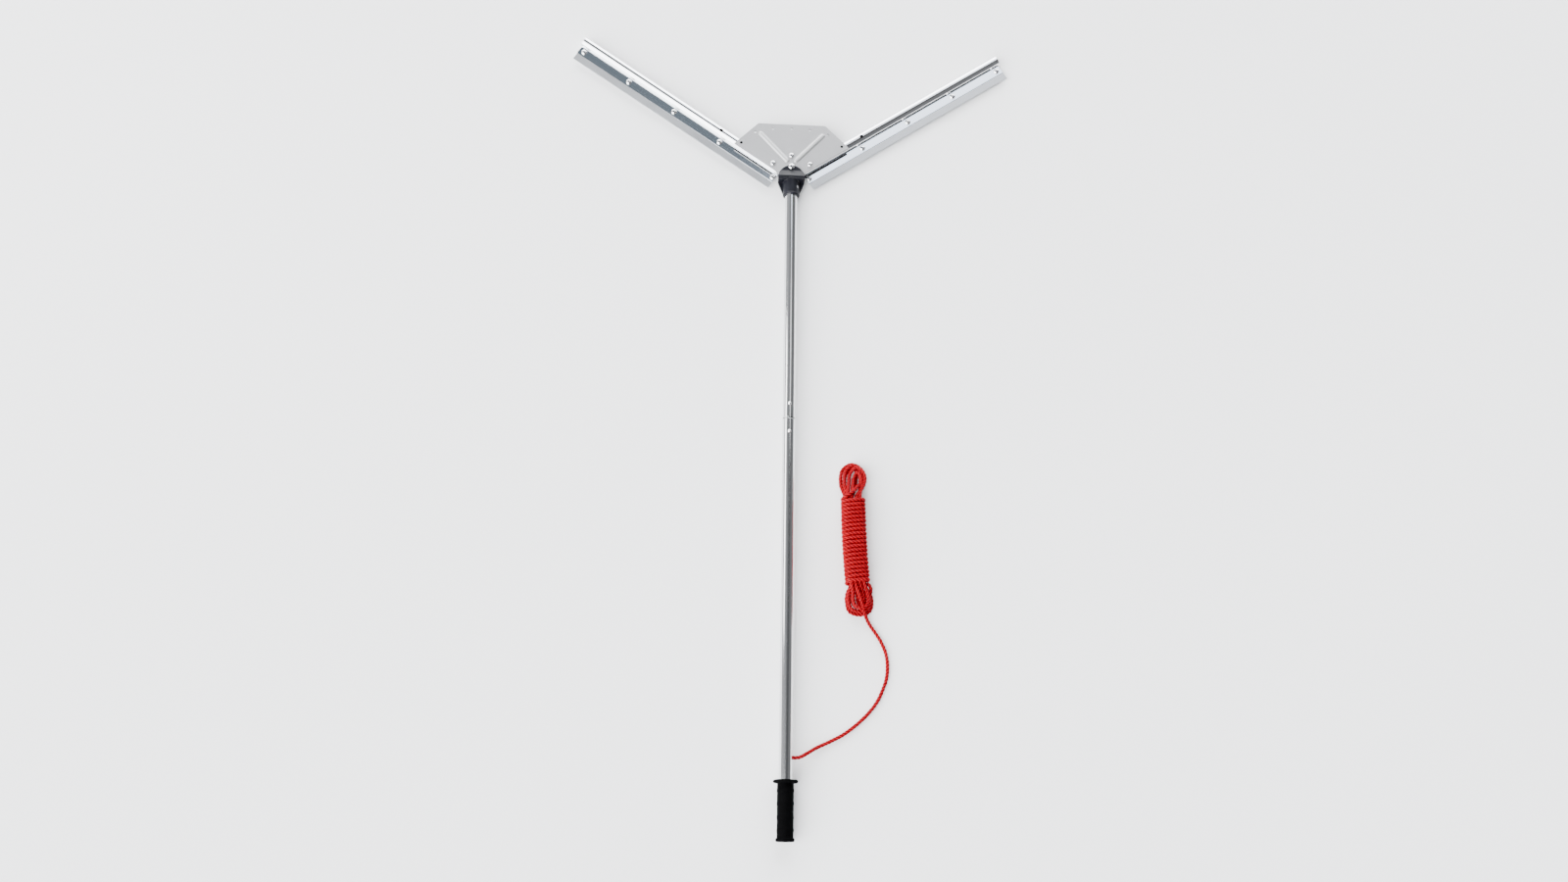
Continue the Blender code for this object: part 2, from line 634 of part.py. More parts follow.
def make_pole():
    upper = tube_along_y("upper_pole", POLE_OD / 2, POLE_WALL, POLE_END - GAP, UPPER_POLE_LENGTH - GAP, polished)
    boolean(upper, make_rivet_hole())
    lower = tube_along_y("lower_pole", POLE_OD / 2, POLE_WALL, SEAM - GAP, LOWER_POLE_LENGTH, polished)
    top = SEAM + SLEEVE_LENGTH / 2
    sleeve = tube_along_y("coupling_sleeve", SLEEVE_RADIUS, SLEEVE_WALL, top, SLEEVE_LENGTH, polished)
    hole = BUTTON_DIAMETER / 2 + SLACK
    for tube, y in ((upper, BUTTON_FROM_SEAM), (lower, -BUTTON_FROM_SEAM), (sleeve, BUTTON_FROM_SEAM), (sleeve, -BUTTON_FROM_SEAM)):
        cut_round(tube, hole, POLE_OD / 2, (0, HEAD_Y + SEAM + y, POLE_Z + POLE_OD / 2))
    cut_round(lower, ROPE_DIAMETER / 2 + SLACK, POLE_OD / 2, (POLE_OD / 2, ROPE_HOLE, POLE_Z), "X")


def make_snap_button(label, y):
    """Domed button held out through both tubes by a bent leaf spring."""
    sleeve_bore = SLEEVE_RADIUS - SLEEVE_WALL
    radius = BUTTON_DIAMETER / 2
    flange_radius = radius + BUTTON_FLANGE_RIM
    flange_top = sleeve_bore * cos(asin(flange_radius / sleeve_bore)) - 2 * GAP
    flange_low = flange_top - BUTTON_FLANGE
    top = POLE_OD / 2 + BUTTON_RISE
    profile = [(0, top)]
    profile += [(radius * sin(angle), top - radius * (1 - cos(angle)) * 0.9) for angle in (0.5, 1.0, pi / 2)]
    profile += [(radius, flange_top), (flange_radius, flange_top), (flange_radius, flange_low), (0, flange_low)]
    new_object(f"{label}_snap_button", turned_mesh(profile, 20), steel, location=(0, y, POLE_Z))
    foot = -sleeve_bore * cos(asin(SPRING_WIDTH / 2 / sleeve_bore)) + 2 * GAP
    upper = flange_low - GAP
    bend = SPRING_REACH - 2 * SPRING_THICKNESS
    leaf = [(-SPRING_BACK, upper), (SPRING_SHOULDER, upper), (SPRING_REACH, SPRING_NOSE), (SPRING_REACH, -SPRING_NOSE)]
    leaf += [(-SPRING_BACK, foot)]
    inner = [(-SPRING_BACK, foot + SPRING_THICKNESS), (bend, -SPRING_NOSE / 2), (bend, SPRING_NOSE / 2)]
    inner += [(SPRING_SHOULDER, upper - SPRING_THICKNESS), (-SPRING_BACK, upper - SPRING_THICKNESS)]
    mesh = outline_mesh([leaf + inner], SPRING_WIDTH)
    mesh.transform(Matrix.Translation((-SPRING_WIDTH / 2, 0, 0)) @ SECTION_TO_X)
    new_object(f"{label}_button_spring", mesh, steel, location=(0, y, POLE_Z))


def make_grip():
    """Soft grip over the pole's foot: flange above, shallow rings, rim and closed end below."""
    profile = [
        (POLE_OD / 2 + SLACK, GRIP_LENGTH),
        (GRIP_FLANGE_DIAMETER / 2 - 1.5 * MM, GRIP_LENGTH),
        (GRIP_FLANGE_DIAMETER / 2, GRIP_LENGTH - 1.5 * MM),
        (GRIP_FLANGE_DIAMETER / 2, GRIP_LENGTH - GRIP_FLANGE_THICKNESS + 1.0 * MM),
        (GRIP_FLANGE_DIAMETER / 2 - 1.5 * MM, GRIP_LENGTH - GRIP_FLANGE_THICKNESS),
        (GRIP_DIAMETER / 2, GRIP_LENGTH - GRIP_FLANGE_THICKNESS),
    ]
    pitch = (GRIP_LENGTH - GRIP_FLANGE_THICKNESS - GRIP_RIM_THICKNESS) / GRIP_RINGS
    for ring in range(GRIP_RINGS):
        middle = GRIP_LENGTH - GRIP_FLANGE_THICKNESS - pitch * (ring + 0.5)
        half = GRIP_RING_WIDTH / 2
        profile += [(GRIP_DIAMETER / 2, middle + half), (GRIP_RING_DIAMETER / 2, middle + half * 0.5)]
        profile += [(GRIP_RING_DIAMETER / 2, middle - half * 0.5), (GRIP_DIAMETER / 2, middle - half)]
    profile += [
        (GRIP_DIAMETER / 2, GRIP_RIM_THICKNESS),
        (GRIP_RIM_DIAMETER / 2, GRIP_RIM_THICKNESS - 1.5 * MM),
        (GRIP_RIM_DIAMETER / 2, 1.5 * MM),
        (GRIP_RIM_DIAMETER / 2 - 1.5 * MM, 0),
        (0, 0),
    ]
    bore = [(0, GRIP_END_WALL), (POLE_OD / 2 + SLACK, GRIP_END_WALL)]
    mesh = turned_mesh(profile, 36, bore)
    mesh.transform(TURNED_TO_Y)
    new_object("grip", mesh, rubber, location=(0, HEAD_Y + GRIP_END, POLE_Z))


# ---------------------------------------------------------------- rope


def smooth_route(route, spacing):
    """Points about a spacing apart on a Catmull-Rom curve through the route."""
    points = [Vector(point) for point in route]
    points = [2 * points[0] - points[1]] + points + [2 * points[-1] - points[-2]]
    dense = []
    for before, start, end, after in zip(points, points[1:], points[2:], points[3:]):
        for step in range(16):
            t = step / 16
            dense.append(
                0.5
                * (
                    2 * start
                    + (end - before) * t
                    + (2 * before - 5 * start + 4 * end - after) * t**2
                    + (3 * start - before - 3 * end + after) * t**3
                )
            )
    dense.append(points[-2])
    length = sum((b - a).length for a, b in zip(dense, dense[1:]))
    count = round(length / spacing)
    placed = [dense[0]]
    travelled = 0.0
    for a, b in zip(dense, dense[1:]):
        travelled += (b - a).length
        if travelled >= length * len(placed) / count and len(placed) < count:
            placed.append(b)
    return placed + [dense[-1]]


def hank_end():
    """Where the free stretch meets the hank's round lower end, and the way in."""
    centre = Vector((*HANK_BOTTOM, 0))
    way = (Vector(ROPE_ROUTE[-1]) - centre).to_2d().normalized().to_3d()
    return centre + way * (HANK_WIDTH / 2 + GAP) + Vector((0, 0, ROPE_ROUTE[-1][2])), way


def make_rope_run():
    end, way = hank_end()
    route = ROPE_ROUTE + [end + way * ROPE_DIAMETER, end]
    curve = bpy.data.curves.new("rope_run", "CURVE")
    curve.dimensions = "3D"
    curve.bevel_depth = ROPE_DIAMETER / 2
    curve.bevel_resolution = 2
    curve.use_fill_caps = True
    points = smooth_route(route, ROPE_DIAMETER * 2)
    spline = curve.splines.new("POLY")
    spline.points.add(len(points) - 1)
    for point, place in zip(spline.points, points):
        point.co = (*place, 1)
    rope = bpy.data.objects.new("rope_run", curve)
    curve.materials.append(red_rope)
    parts.objects.link(rope)


def make_hank():
    """Outer shape of the coiled rope: an extruded outline with round ends, lying on the surface."""
    low = Vector(HANK_BOTTOM)
    high = Vector(HANK_TOP)
    heading = (high - low).angle_signed(Vector((1, 0)))
    radius = HANK_WIDTH / 2
    outline = arc(high, radius, heading - pi / 2, heading + pi / 2, 16)
    outline += arc(low, radius, heading + pi / 2, heading + 3 * pi / 2, 48)
    new_object("rope_hank", outline_mesh([outline], HANK_THICKNESS), red_rope, location=(0, 0, GAP))


def make_knot():
    """Stopper knot inside the pole, against the rope's hole."""
    mesh = bpy.data.meshes.new("rope_knot")
    work = bmesh.new()
    bmesh.ops.create_uvsphere(work, u_segments=16, v_segments=10, radius=KNOT_DIAMETER / 2)
    work.to_mesh(mesh)
    work.free()
    x = ROPE_ROUTE[0][0] - GAP - KNOT_DIAMETER / 2
    new_object("rope_knot", mesh, red_rope, location=(x, ROPE_HOLE, POLE_Z))


clear_scene()
parts = new_collection("weed_cutter")
cutters = new_collection("cutters")
polished = new_material("polished_aluminium", (0.82, 0.83, 0.84), 1.0, 0.2)
extruded = new_material("extruded_aluminium", (0.78, 0.8, 0.82), 1.0, 0.28)
sheet = new_material("sheet_aluminium", (0.62, 0.62, 0.63), 0.7, 0.55)
stainless = new_material("blade_steel", (0.7, 0.73, 0.76), 1.0, 0.25)
steel = new_material("zinc_steel", (0.8, 0.8, 0.8), 1.0, 0.25)
black_plastic = new_material("black_plastic", (0.02, 0.02, 0.025), 0.0, 0.45)
rubber = new_material("black_rubber", (0.012, 0.012, 0.014), 0.0, 0.6)
red_rope = new_material("red_rope", (0.6, 0.01, 0.03), 0.0, 0.6)

make_arm("right", 1)
make_arm("left", -1)
make_plate()
make_yoke()
make_bracket()
make_yoke_fixings()
make_pole()
make_rivet()
make_snap_button("upper", HEAD_Y + SEAM + BUTTON_FROM_SEAM)
make_snap_button("lower", HEAD_Y + SEAM - BUTTON_FROM_SEAM)
make_grip()
make_knot()
make_rope_run()
make_hank()
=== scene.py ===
import bpy, bmesh
from math import sin, cos, tan, pi, radians, sqrt, atan2
from mathutils import Matrix, Vector, noise


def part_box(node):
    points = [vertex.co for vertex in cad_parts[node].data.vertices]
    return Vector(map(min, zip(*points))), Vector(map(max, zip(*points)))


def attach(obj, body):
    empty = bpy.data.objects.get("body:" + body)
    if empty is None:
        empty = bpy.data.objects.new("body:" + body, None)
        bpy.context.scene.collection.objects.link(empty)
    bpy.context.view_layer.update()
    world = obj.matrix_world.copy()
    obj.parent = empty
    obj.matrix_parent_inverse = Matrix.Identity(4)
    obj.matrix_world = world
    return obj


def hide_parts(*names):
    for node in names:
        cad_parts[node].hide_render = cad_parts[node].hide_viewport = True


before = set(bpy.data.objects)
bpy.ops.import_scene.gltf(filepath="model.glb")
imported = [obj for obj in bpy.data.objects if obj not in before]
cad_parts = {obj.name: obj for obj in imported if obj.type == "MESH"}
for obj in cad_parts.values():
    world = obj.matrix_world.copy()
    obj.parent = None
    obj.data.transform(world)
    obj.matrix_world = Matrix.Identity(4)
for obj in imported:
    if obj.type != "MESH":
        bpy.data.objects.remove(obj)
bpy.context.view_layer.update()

mm = 0.001
mainBody = "pole_and_head"


def centreOf(node):
    low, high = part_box(node)
    return (Vector(low) + Vector(high)) / 2


def lowOf(node):
    return Vector(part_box(node)[0])


def highOf(node):
    return Vector(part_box(node)[1])


def addObject(name, data):
    obj = bpy.data.objects.new(name, data)
    bpy.context.scene.collection.objects.link(obj)
    return obj


# camera

shot = {
    "place": (-0.2050, -1.0052, 2.9687),
    "turn": (17.665, -3.983, 0.575),
    "lens": 36.0,
}


def makeCamera():
    data = bpy.data.cameras.new("shotCamera")
    data.lens = shot["lens"]
    data.sensor_width = 36.0
    data.clip_end = 60
    camera = addObject("shotCamera", data)
    camera.location = shot["place"]
    camera.rotation_euler = [radians(a) for a in shot["turn"]]
    bpy.context.scene.camera = camera


makeCamera()
print("camera set")


# material helpers

def newMaterial(name, base, metal=0.0, rough=0.5, **more):
    mat = bpy.data.materials.new(name)
    mat.use_nodes = True
    shader = mat.node_tree.nodes["Principled BSDF"]
    shader.inputs["Base Color"].default_value = (*base, 1)
    shader.inputs["Metallic"].default_value = metal
    shader.inputs["Roughness"].default_value = rough
    for socket, value in more.items():
        shader.inputs[socket.replace("_", " ")].default_value = value
    return mat, mat.node_tree, shader


def objectPattern(tree, scale, turn=0.0):
    coords = tree.nodes.new("ShaderNodeTexCoord")
    mapping = tree.nodes.new("ShaderNodeMapping")
    mapping.vector_type = "POINT"
    turned = tree.nodes.new("ShaderNodeMapping")
    turned.inputs["Rotation"].default_value = (0, 0, turn)
    mapping.inputs["Scale"].default_value = scale
    tree.links.new(coords.outputs["Object"], turned.inputs["Vector"])
    tree.links.new(turned.outputs["Vector"], mapping.inputs["Vector"])
    return mapping.outputs["Vector"]


def noiseTexture(tree, vector, scale=1.0, detail=4.0, rough=0.55):
    tex = tree.nodes.new("ShaderNodeTexNoise")
    tex.inputs["Scale"].default_value = scale
    tex.inputs["Detail"].default_value = detail
    tex.inputs["Roughness"].default_value = rough
    tree.links.new(vector, tex.inputs["Vector"])
    return tex.outputs["Fac"]


def plainNoise(tree, scale, detail, rough):
    return noiseTexture(tree, objectPattern(tree, (1, 1, 1)), scale, detail, rough)


def remap(tree, value, low, high, fromLow=0.0, fromHigh=1.0):
    node = tree.nodes.new("ShaderNodeMapRange")
    node.inputs["From Min"].default_value = fromLow
    node.inputs["From Max"].default_value = fromHigh
    node.inputs["To Min"].default_value = low
    node.inputs["To Max"].default_value = high
    tree.links.new(value, node.inputs["Value"])
    return node.outputs["Result"]


def ramp(tree, value, stops):
    node = tree.nodes.new("ShaderNodeValToRGB")
    while len(node.color_ramp.elements) < len(stops):
        node.color_ramp.elements.new(0.5)
    for element, (place, colour) in zip(node.color_ramp.elements, stops):
        element.position = place
        element.color = (*colour, 1)
    tree.links.new(value, node.inputs["Fac"])
    return node.outputs["Color"]


def addBump(tree, shader, height, strength, distance):
    bump = tree.nodes.new("ShaderNodeBump")
    bump.inputs["Strength"].default_value = strength
    bump.inputs["Distance"].default_value = distance
    tree.links.new(height, bump.inputs["Height"])
    tree.links.new(bump.outputs["Normal"], shader.inputs["Normal"])


def mixFactors(tree, a, b, operation="ADD"):
    node = tree.nodes.new("ShaderNodeMath")
    node.operation = operation
    for socket, value in zip(node.inputs, (a, b)):
        if hasattr(value, "links"):
            tree.links.new(value, socket)
        else:
            socket.default_value = value
    return node.outputs[0]


# materials, one function for each finish

def drawnMetal(name, colour, rough, turn=0.0, streak=900.0, grain=0.10, bumpiness=0.05):
    # drawn or brushed metal: fine lines along one direction, faint smudges over them
    mat, tree, shader = newMaterial(name, colour, 1.0, rough)
    lines = noiseTexture(tree, objectPattern(tree, (3.0, streak, streak), turn), 1.0, 5.0, 0.6)
    smudge = noiseTexture(tree, objectPattern(tree, (9, 9, 9)), 1.0, 4.0, 0.6)
    roughness = mixFactors(
        tree,
        remap(tree, lines, rough - grain * 0.5, rough + grain * 0.5, 0.3, 0.7),
        remap(tree, smudge, -0.02, 0.03, 0.35, 0.7))
    tree.links.new(roughness, shader.inputs["Roughness"])
    tone = ramp(tree, lines, [(0.3, [c * 0.93 for c in colour]), (0.7, colour)])
    tree.links.new(tone, shader.inputs["Base Color"])
    addBump(tree, shader, lines, bumpiness, 0.0002)
    return mat


def blastedSheet(topZ):
    # matt rolled sheet of the gusset plate: very fine grain, soft cloudy tone, and a painted highlight that
    # lightens the colour on the raised bead tops
    mat, tree, shader = newMaterial("blastedSheet", (0.42, 0.42, 0.43), 0.6, 0.48)
    grain = plainNoise(tree, 900.0, 3.0, 0.6)
    cloud = plainNoise(tree, 18.0, 4.0, 0.6)
    tone = ramp(tree, cloud, [(0.3, (0.31, 0.31, 0.315)), (0.7, (0.34, 0.34, 0.345))])
    place = tree.nodes.new("ShaderNodeTexCoord")
    height = tree.nodes.new("ShaderNodeSeparateXYZ")
    tree.links.new(place.outputs["Object"], height.inputs["Vector"])
    # painted highlight: the colour turns lighter where the sheet rises onto the beads
    beadHighlight = tree.nodes.new("ShaderNodeMix")
    beadHighlight.data_type = "RGBA"
    tree.links.new(remap(tree, height.outputs["Z"], 0, 1, topZ + 0.4 * mm, topZ + 1.6 * mm), beadHighlight.inputs[0])
    tree.links.new(tone, beadHighlight.inputs[6])
    beadHighlight.inputs[7].default_value = (0.46, 0.46, 0.46, 1)
    tree.links.new(beadHighlight.outputs[2], shader.inputs["Base Color"])
    tree.links.new(remap(tree, grain, 0.40, 0.56), shader.inputs["Roughness"])
    addBump(tree, shader, grain, 0.08, 0.0002)
    return mat


def mottledFinish(name, base, metal, rough, cloud, tones=(), roughs=(), skin=(), bump=(), **more):
    # cloudy tone and roughness, and a bump from a finer skin if one is given
    mat, tree, shader = newMaterial(name, base, metal, rough, **more)
    patches = plainNoise(tree, *cloud)
    if tones:
        tree.links.new(ramp(tree, patches, tones), shader.inputs["Base Color"])
    if roughs:
        tree.links.new(remap(tree, patches, *roughs, 0.3, 0.7), shader.inputs["Roughness"])
    if bump:
        addBump(tree, shader, plainNoise(tree, *skin) if skin else patches, *bump)
    return mat


def zincPlate():
    return mottledFinish("zincPlate", (0.84, 0.84, 0.84), 1.0, 0.16, (260.0, 3.0, 0.6),
                         roughs=(0.10, 0.22), bump=(0.03, 0.0003))


def mouldedBlack():
    # satin moulded nylon with a fine spark-eroded skin
    return mottledFinish("mouldedBlack", (0.003, 0.003, 0.005), 0.0, 0.30, (60.0, 4.0, 0.6),
                         [(0.3, (0.002, 0.0022, 0.004)), (0.75, (0.004, 0.0044, 0.008))],
                         (0.28, 0.42), (1400.0, 3.0, 0.6), (0.12, 0.0002), Specular_IOR_Level=0.18)


def gripRubber():
    return mottledFinish("gripRubber", (0.001, 0.001, 0.0012), 0.0, 0.7, (40.0, 4.0, 0.6),
                         [(0.3, (0.0006, 0.0006, 0.0007)), (0.75, (0.0016, 0.0016, 0.0018))],
                         (0.62, 0.78), (800.0, 4.0, 0.65), (0.15, 0.0003), IOR=1.15, Specular_IOR_Level=0.1)


def laidRope():
    # synthetic yarn: fibres run with the strands, and painted shade darkens the colour in the grooves between
    # the strands
    mat, tree, shader = newMaterial("laidRope", (0.36, 0.0, 0.003), 0.0, 0.45, Specular_IOR_Level=0.05)
    place = tree.nodes.new("ShaderNodeAttribute")
    place.attribute_name = "ropeSpace"
    stretch = tree.nodes.new("ShaderNodeMapping")
    stretch.inputs["Scale"].default_value = (55.0, 2600.0, 2600.0)
    tree.links.new(place.outputs["Vector"], stretch.inputs["Vector"])
    fibres = noiseTexture(tree, stretch.outputs["Vector"], 1.0, 4.0, 0.6)
    groove = tree.nodes.new("ShaderNodeAttribute")
    groove.attribute_name = "groove"
    # painted shade: the groove attribute is taken off the fibre tone, so the grooves come out darker
    shade = mixFactors(tree, remap(tree, fibres, 0.5, 0.95, 0.3, 0.7), groove.outputs["Fac"], "SUBTRACT")
    tone = ramp(tree, shade, [
        (0.0, (0.06, 0.0, 0.001)), (0.45, (0.27, 0.0, 0.004)),
        (0.75, (0.42, 0.0, 0.008)), (1.0, (0.55, 0.003, 0.018))])
    tree.links.new(tone, shader.inputs["Base Color"])
    tree.links.new(remap(tree, fibres, 0.40, 0.58, 0.3, 0.7), shader.inputs["Roughness"])
    addBump(tree, shader, fibres, 0.35, 0.0004)
    return mat


def paleFloor():
    return mottledFinish("paleFloor", (0.93, 0.93, 0.93), 0.0, 0.75, (1.2, 3.0, 0.5),
                         [(0.3, (0.92, 0.92, 0.92)), (0.7, (0.94, 0.94, 0.94))])


# mesh helpers

def placeMesh(name, mesh, materials):
    obj = addObject(name, mesh)
    mesh.materials.clear()
    for mat in materials:
        mesh.materials.append(mat)
    return obj


def rework(mesh, change):
    work = bmesh.new()
    work.from_mesh(mesh)
    change(work)
    work.to_mesh(mesh)
    work.free()
    return mesh


def newMesh(name, change):
    return rework(bpy.data.meshes.new(name), change)


def bakeObject(obj, merge=0.000002):
    bpy.context.view_layer.update()
    graph = bpy.context.evaluated_depsgraph_get()
    mesh = bpy.data.meshes.new_from_object(obj.evaluated_get(graph))
    mesh.transform(obj.matrix_world)
    bpy.data.objects.remove(obj)
    if merge:
        rework(mesh, lambda work: bmesh.ops.remove_doubles(work, verts=work.verts, dist=merge))
    return mesh


def turnFacesOut(mesh):
    rework(mesh, lambda work: bmesh.ops.recalc_face_normals(work, faces=work.faces))


def smoothShade(mesh, angle=32):
    mesh.shade_smooth()
    mesh.set_sharp_from_angle(angle=radians(angle))


def shadeOutward(mesh, angle=32):
    turnFacesOut(mesh)
    smoothShade(mesh, angle)


def arcPoints(centre, radius, start, end, steps):
    return [(centre[0] + radius * cos(start + (end - start) * i / steps),
             centre[1] + radius * sin(start + (end - start) * i / steps)) for i in range(steps + 1)]


def ringPoints(centre, radius, steps=48):
    return arcPoints(centre, radius, 0, 2 * pi, steps)[:-1]


def filledOutline(outlines, thickness, rounding=0.0, resolution=2):
    # flat outlines in XY, the later ones are holes, filled from z = 0 up with rounded rims
    curve = bpy.data.curves.new("outline", "CURVE")
    curve.dimensions = "2D"
    curve.fill_mode = "BOTH"
    curve.extrude = thickness / 2 - rounding
    curve.bevel_depth = rounding
    curve.bevel_resolution = resolution
    curve.offset = -rounding
    for points in outlines:
        spline = curve.splines.new("POLY")
        spline.points.add(len(points) - 1)
        for point, (x, y) in zip(spline.points, points):
            point.co = (x, y, 0, 1)
        spline.use_cyclic_u = True
    obj = addObject("outline", curve)
    obj.location.z = thickness / 2
    return bakeObject(obj)


def lathe(profile, steps=96, closed=False):
    # profile of (radius, height) run down its outer side and turned about Z
    points = [(r, 0, z) for r, z in profile]
    edges = [(i, i + 1) for i in range(len(points) - 1)] + [(len(points) - 1, 0)] * closed
    mesh = bpy.data.meshes.new("lathe")
    mesh.from_pydata(points, edges, [])
    obj = addObject("lathe", mesh)
    screw = obj.modifiers.new("turn", "SCREW")
    screw.steps = screw.render_steps = steps
    screw.use_merge_vertices = True
    screw.merge_threshold = 0.000005
    return bakeObject(obj)


def carve(mesh, cutters, operation="DIFFERENCE"):
    obj = addObject("carved", mesh)
    helpers = []
    for cutter in cutters:
        helper = addObject("cutter", cutter)
        helpers.append(helper)
        modifier = obj.modifiers.new("carve", "BOOLEAN")
        modifier.operation = operation
        modifier.object = helper
    result = bakeObject(obj)
    for helper in helpers:
        bpy.data.objects.remove(helper)
    return result


def drum(radius, length, centre, matrix=None, steps=48):
    mesh = newMesh("drum", lambda work: bmesh.ops.create_cone(
        work, cap_ends=True, segments=steps, radius1=radius, radius2=radius, depth=length))
    if matrix:
        mesh.transform(matrix)
    mesh.transform(Matrix.Translation(centre))
    return mesh


def block(size, centre):
    mesh = newMesh("block", lambda work: bmesh.ops.create_cube(work, size=1))
    mesh.transform(Matrix.Diagonal((*size, 1)))
    mesh.transform(Matrix.Translation(centre))
    return mesh


lieAlongY = Matrix.Rotation(-pi / 2, 4, "X")


# rope: the hank first, then the mesh of three laid strands

rope = {
    "diameter": 8.0 * mm,
    "pitch": 21.0 * mm,
    "sides": 15,
    "groove": 0.80,
    "ringEvery": 2.6 * mm,
    "wraps": 20,
    "wrapStart": 39.0 * mm,
    "wrapEnd": 206.0 * mm,
    "spacing": 8.1 * mm,
    "bow": 3.5 * mm,
}


def smoothPath(route, spacing):
    points = [Vector(p) for p in route]
    points = [2 * points[0] - points[1]] + points + [2 * points[-1] - points[-2]]
    dense = []
    for a, b, c, d in zip(points, points[1:], points[2:], points[3:]):
        # centripetal spacing keeps the rope from kinking where points bunch
        t0 = 0.0
        t1 = t0 + max((b - a).length, 1e-6) ** 0.5
        t2 = t1 + max((c - b).length, 1e-6) ** 0.5
        t3 = t2 + max((d - c).length, 1e-6) ** 0.5
        steps = max(2, int((c - b).length / (spacing * 0.3)))
        for i in range(steps):
            t = t1 + (t2 - t1) * i / steps
            p1 = a * ((t1 - t) / (t1 - t0)) + b * ((t - t0) / (t1 - t0))
            p2 = b * ((t2 - t) / (t2 - t1)) + c * ((t - t1) / (t2 - t1))
            p3 = c * ((t3 - t) / (t3 - t2)) + d * ((t - t2) / (t3 - t2))
            q1 = p1 * ((t2 - t) / (t2 - t0)) + p2 * ((t - t0) / (t2 - t0))
            q2 = p2 * ((t3 - t) / (t3 - t1)) + p3 * ((t - t1) / (t3 - t1))
            dense.append(q1 * ((t2 - t) / (t2 - t1)) + q2 * ((t - t1) / (t2 - t1)))
    dense.append(points[-2])
    lengths = [0.0]
    for a, b in zip(dense, dense[1:]):
        lengths.append(lengths[-1] + (b - a).length)
    count = max(2, round(lengths[-1] / spacing))
    path, j = [], 0
    for i in range(count + 1):
        want = lengths[-1] * i / count
        while j < len(lengths) - 2 and lengths[j + 1] < want:
            j += 1
        span = max(lengths[j + 1] - lengths[j], 1e-9)
        path.append(dense[j].lerp(dense[j + 1], (want - lengths[j]) / span))
    return path


def hankFrame():
    # local axes of the hank: u up its length, v to the right, w up from the floor
    low, high = Vector((0.1390, -0.3825, 0)), Vector((0.1275, -0.1235, 0))
    along = (high - low).normalized()
    across = Vector((along.y, -along.x, 0))
    return low, along, across


def freeStretch():
    # from the hole in the pole down to the floor and round to the hank's lower end
    hole = ropeExit.y
    return [
        (0.0095, hole, ropeExit.z),
        (0.0255, hole + 0.0012, ropeExit.z - 0.0006),
        (0.0420, hole + 0.0102, 0.0165),
        (0.0610, hole + 0.0220, 0.0070),
        (0.0840, -0.6470, 0.0044),
        (0.1100, -0.6330, 0.0043),
        (0.1340, -0.6150, 0.0043),
        (0.1550, -0.5950, 0.0043),
        (0.1720, -0.5740, 0.0043),
        (0.1840, -0.5500, 0.0043),
        (0.1920, -0.5270, 0.0043),
        (0.1945, -0.5050, 0.0043),
        (0.1920, -0.4800, 0.0043),
        (0.1825, -0.4560, 0.0043),
        (0.1690, -0.4350, 0.0043),
    ]


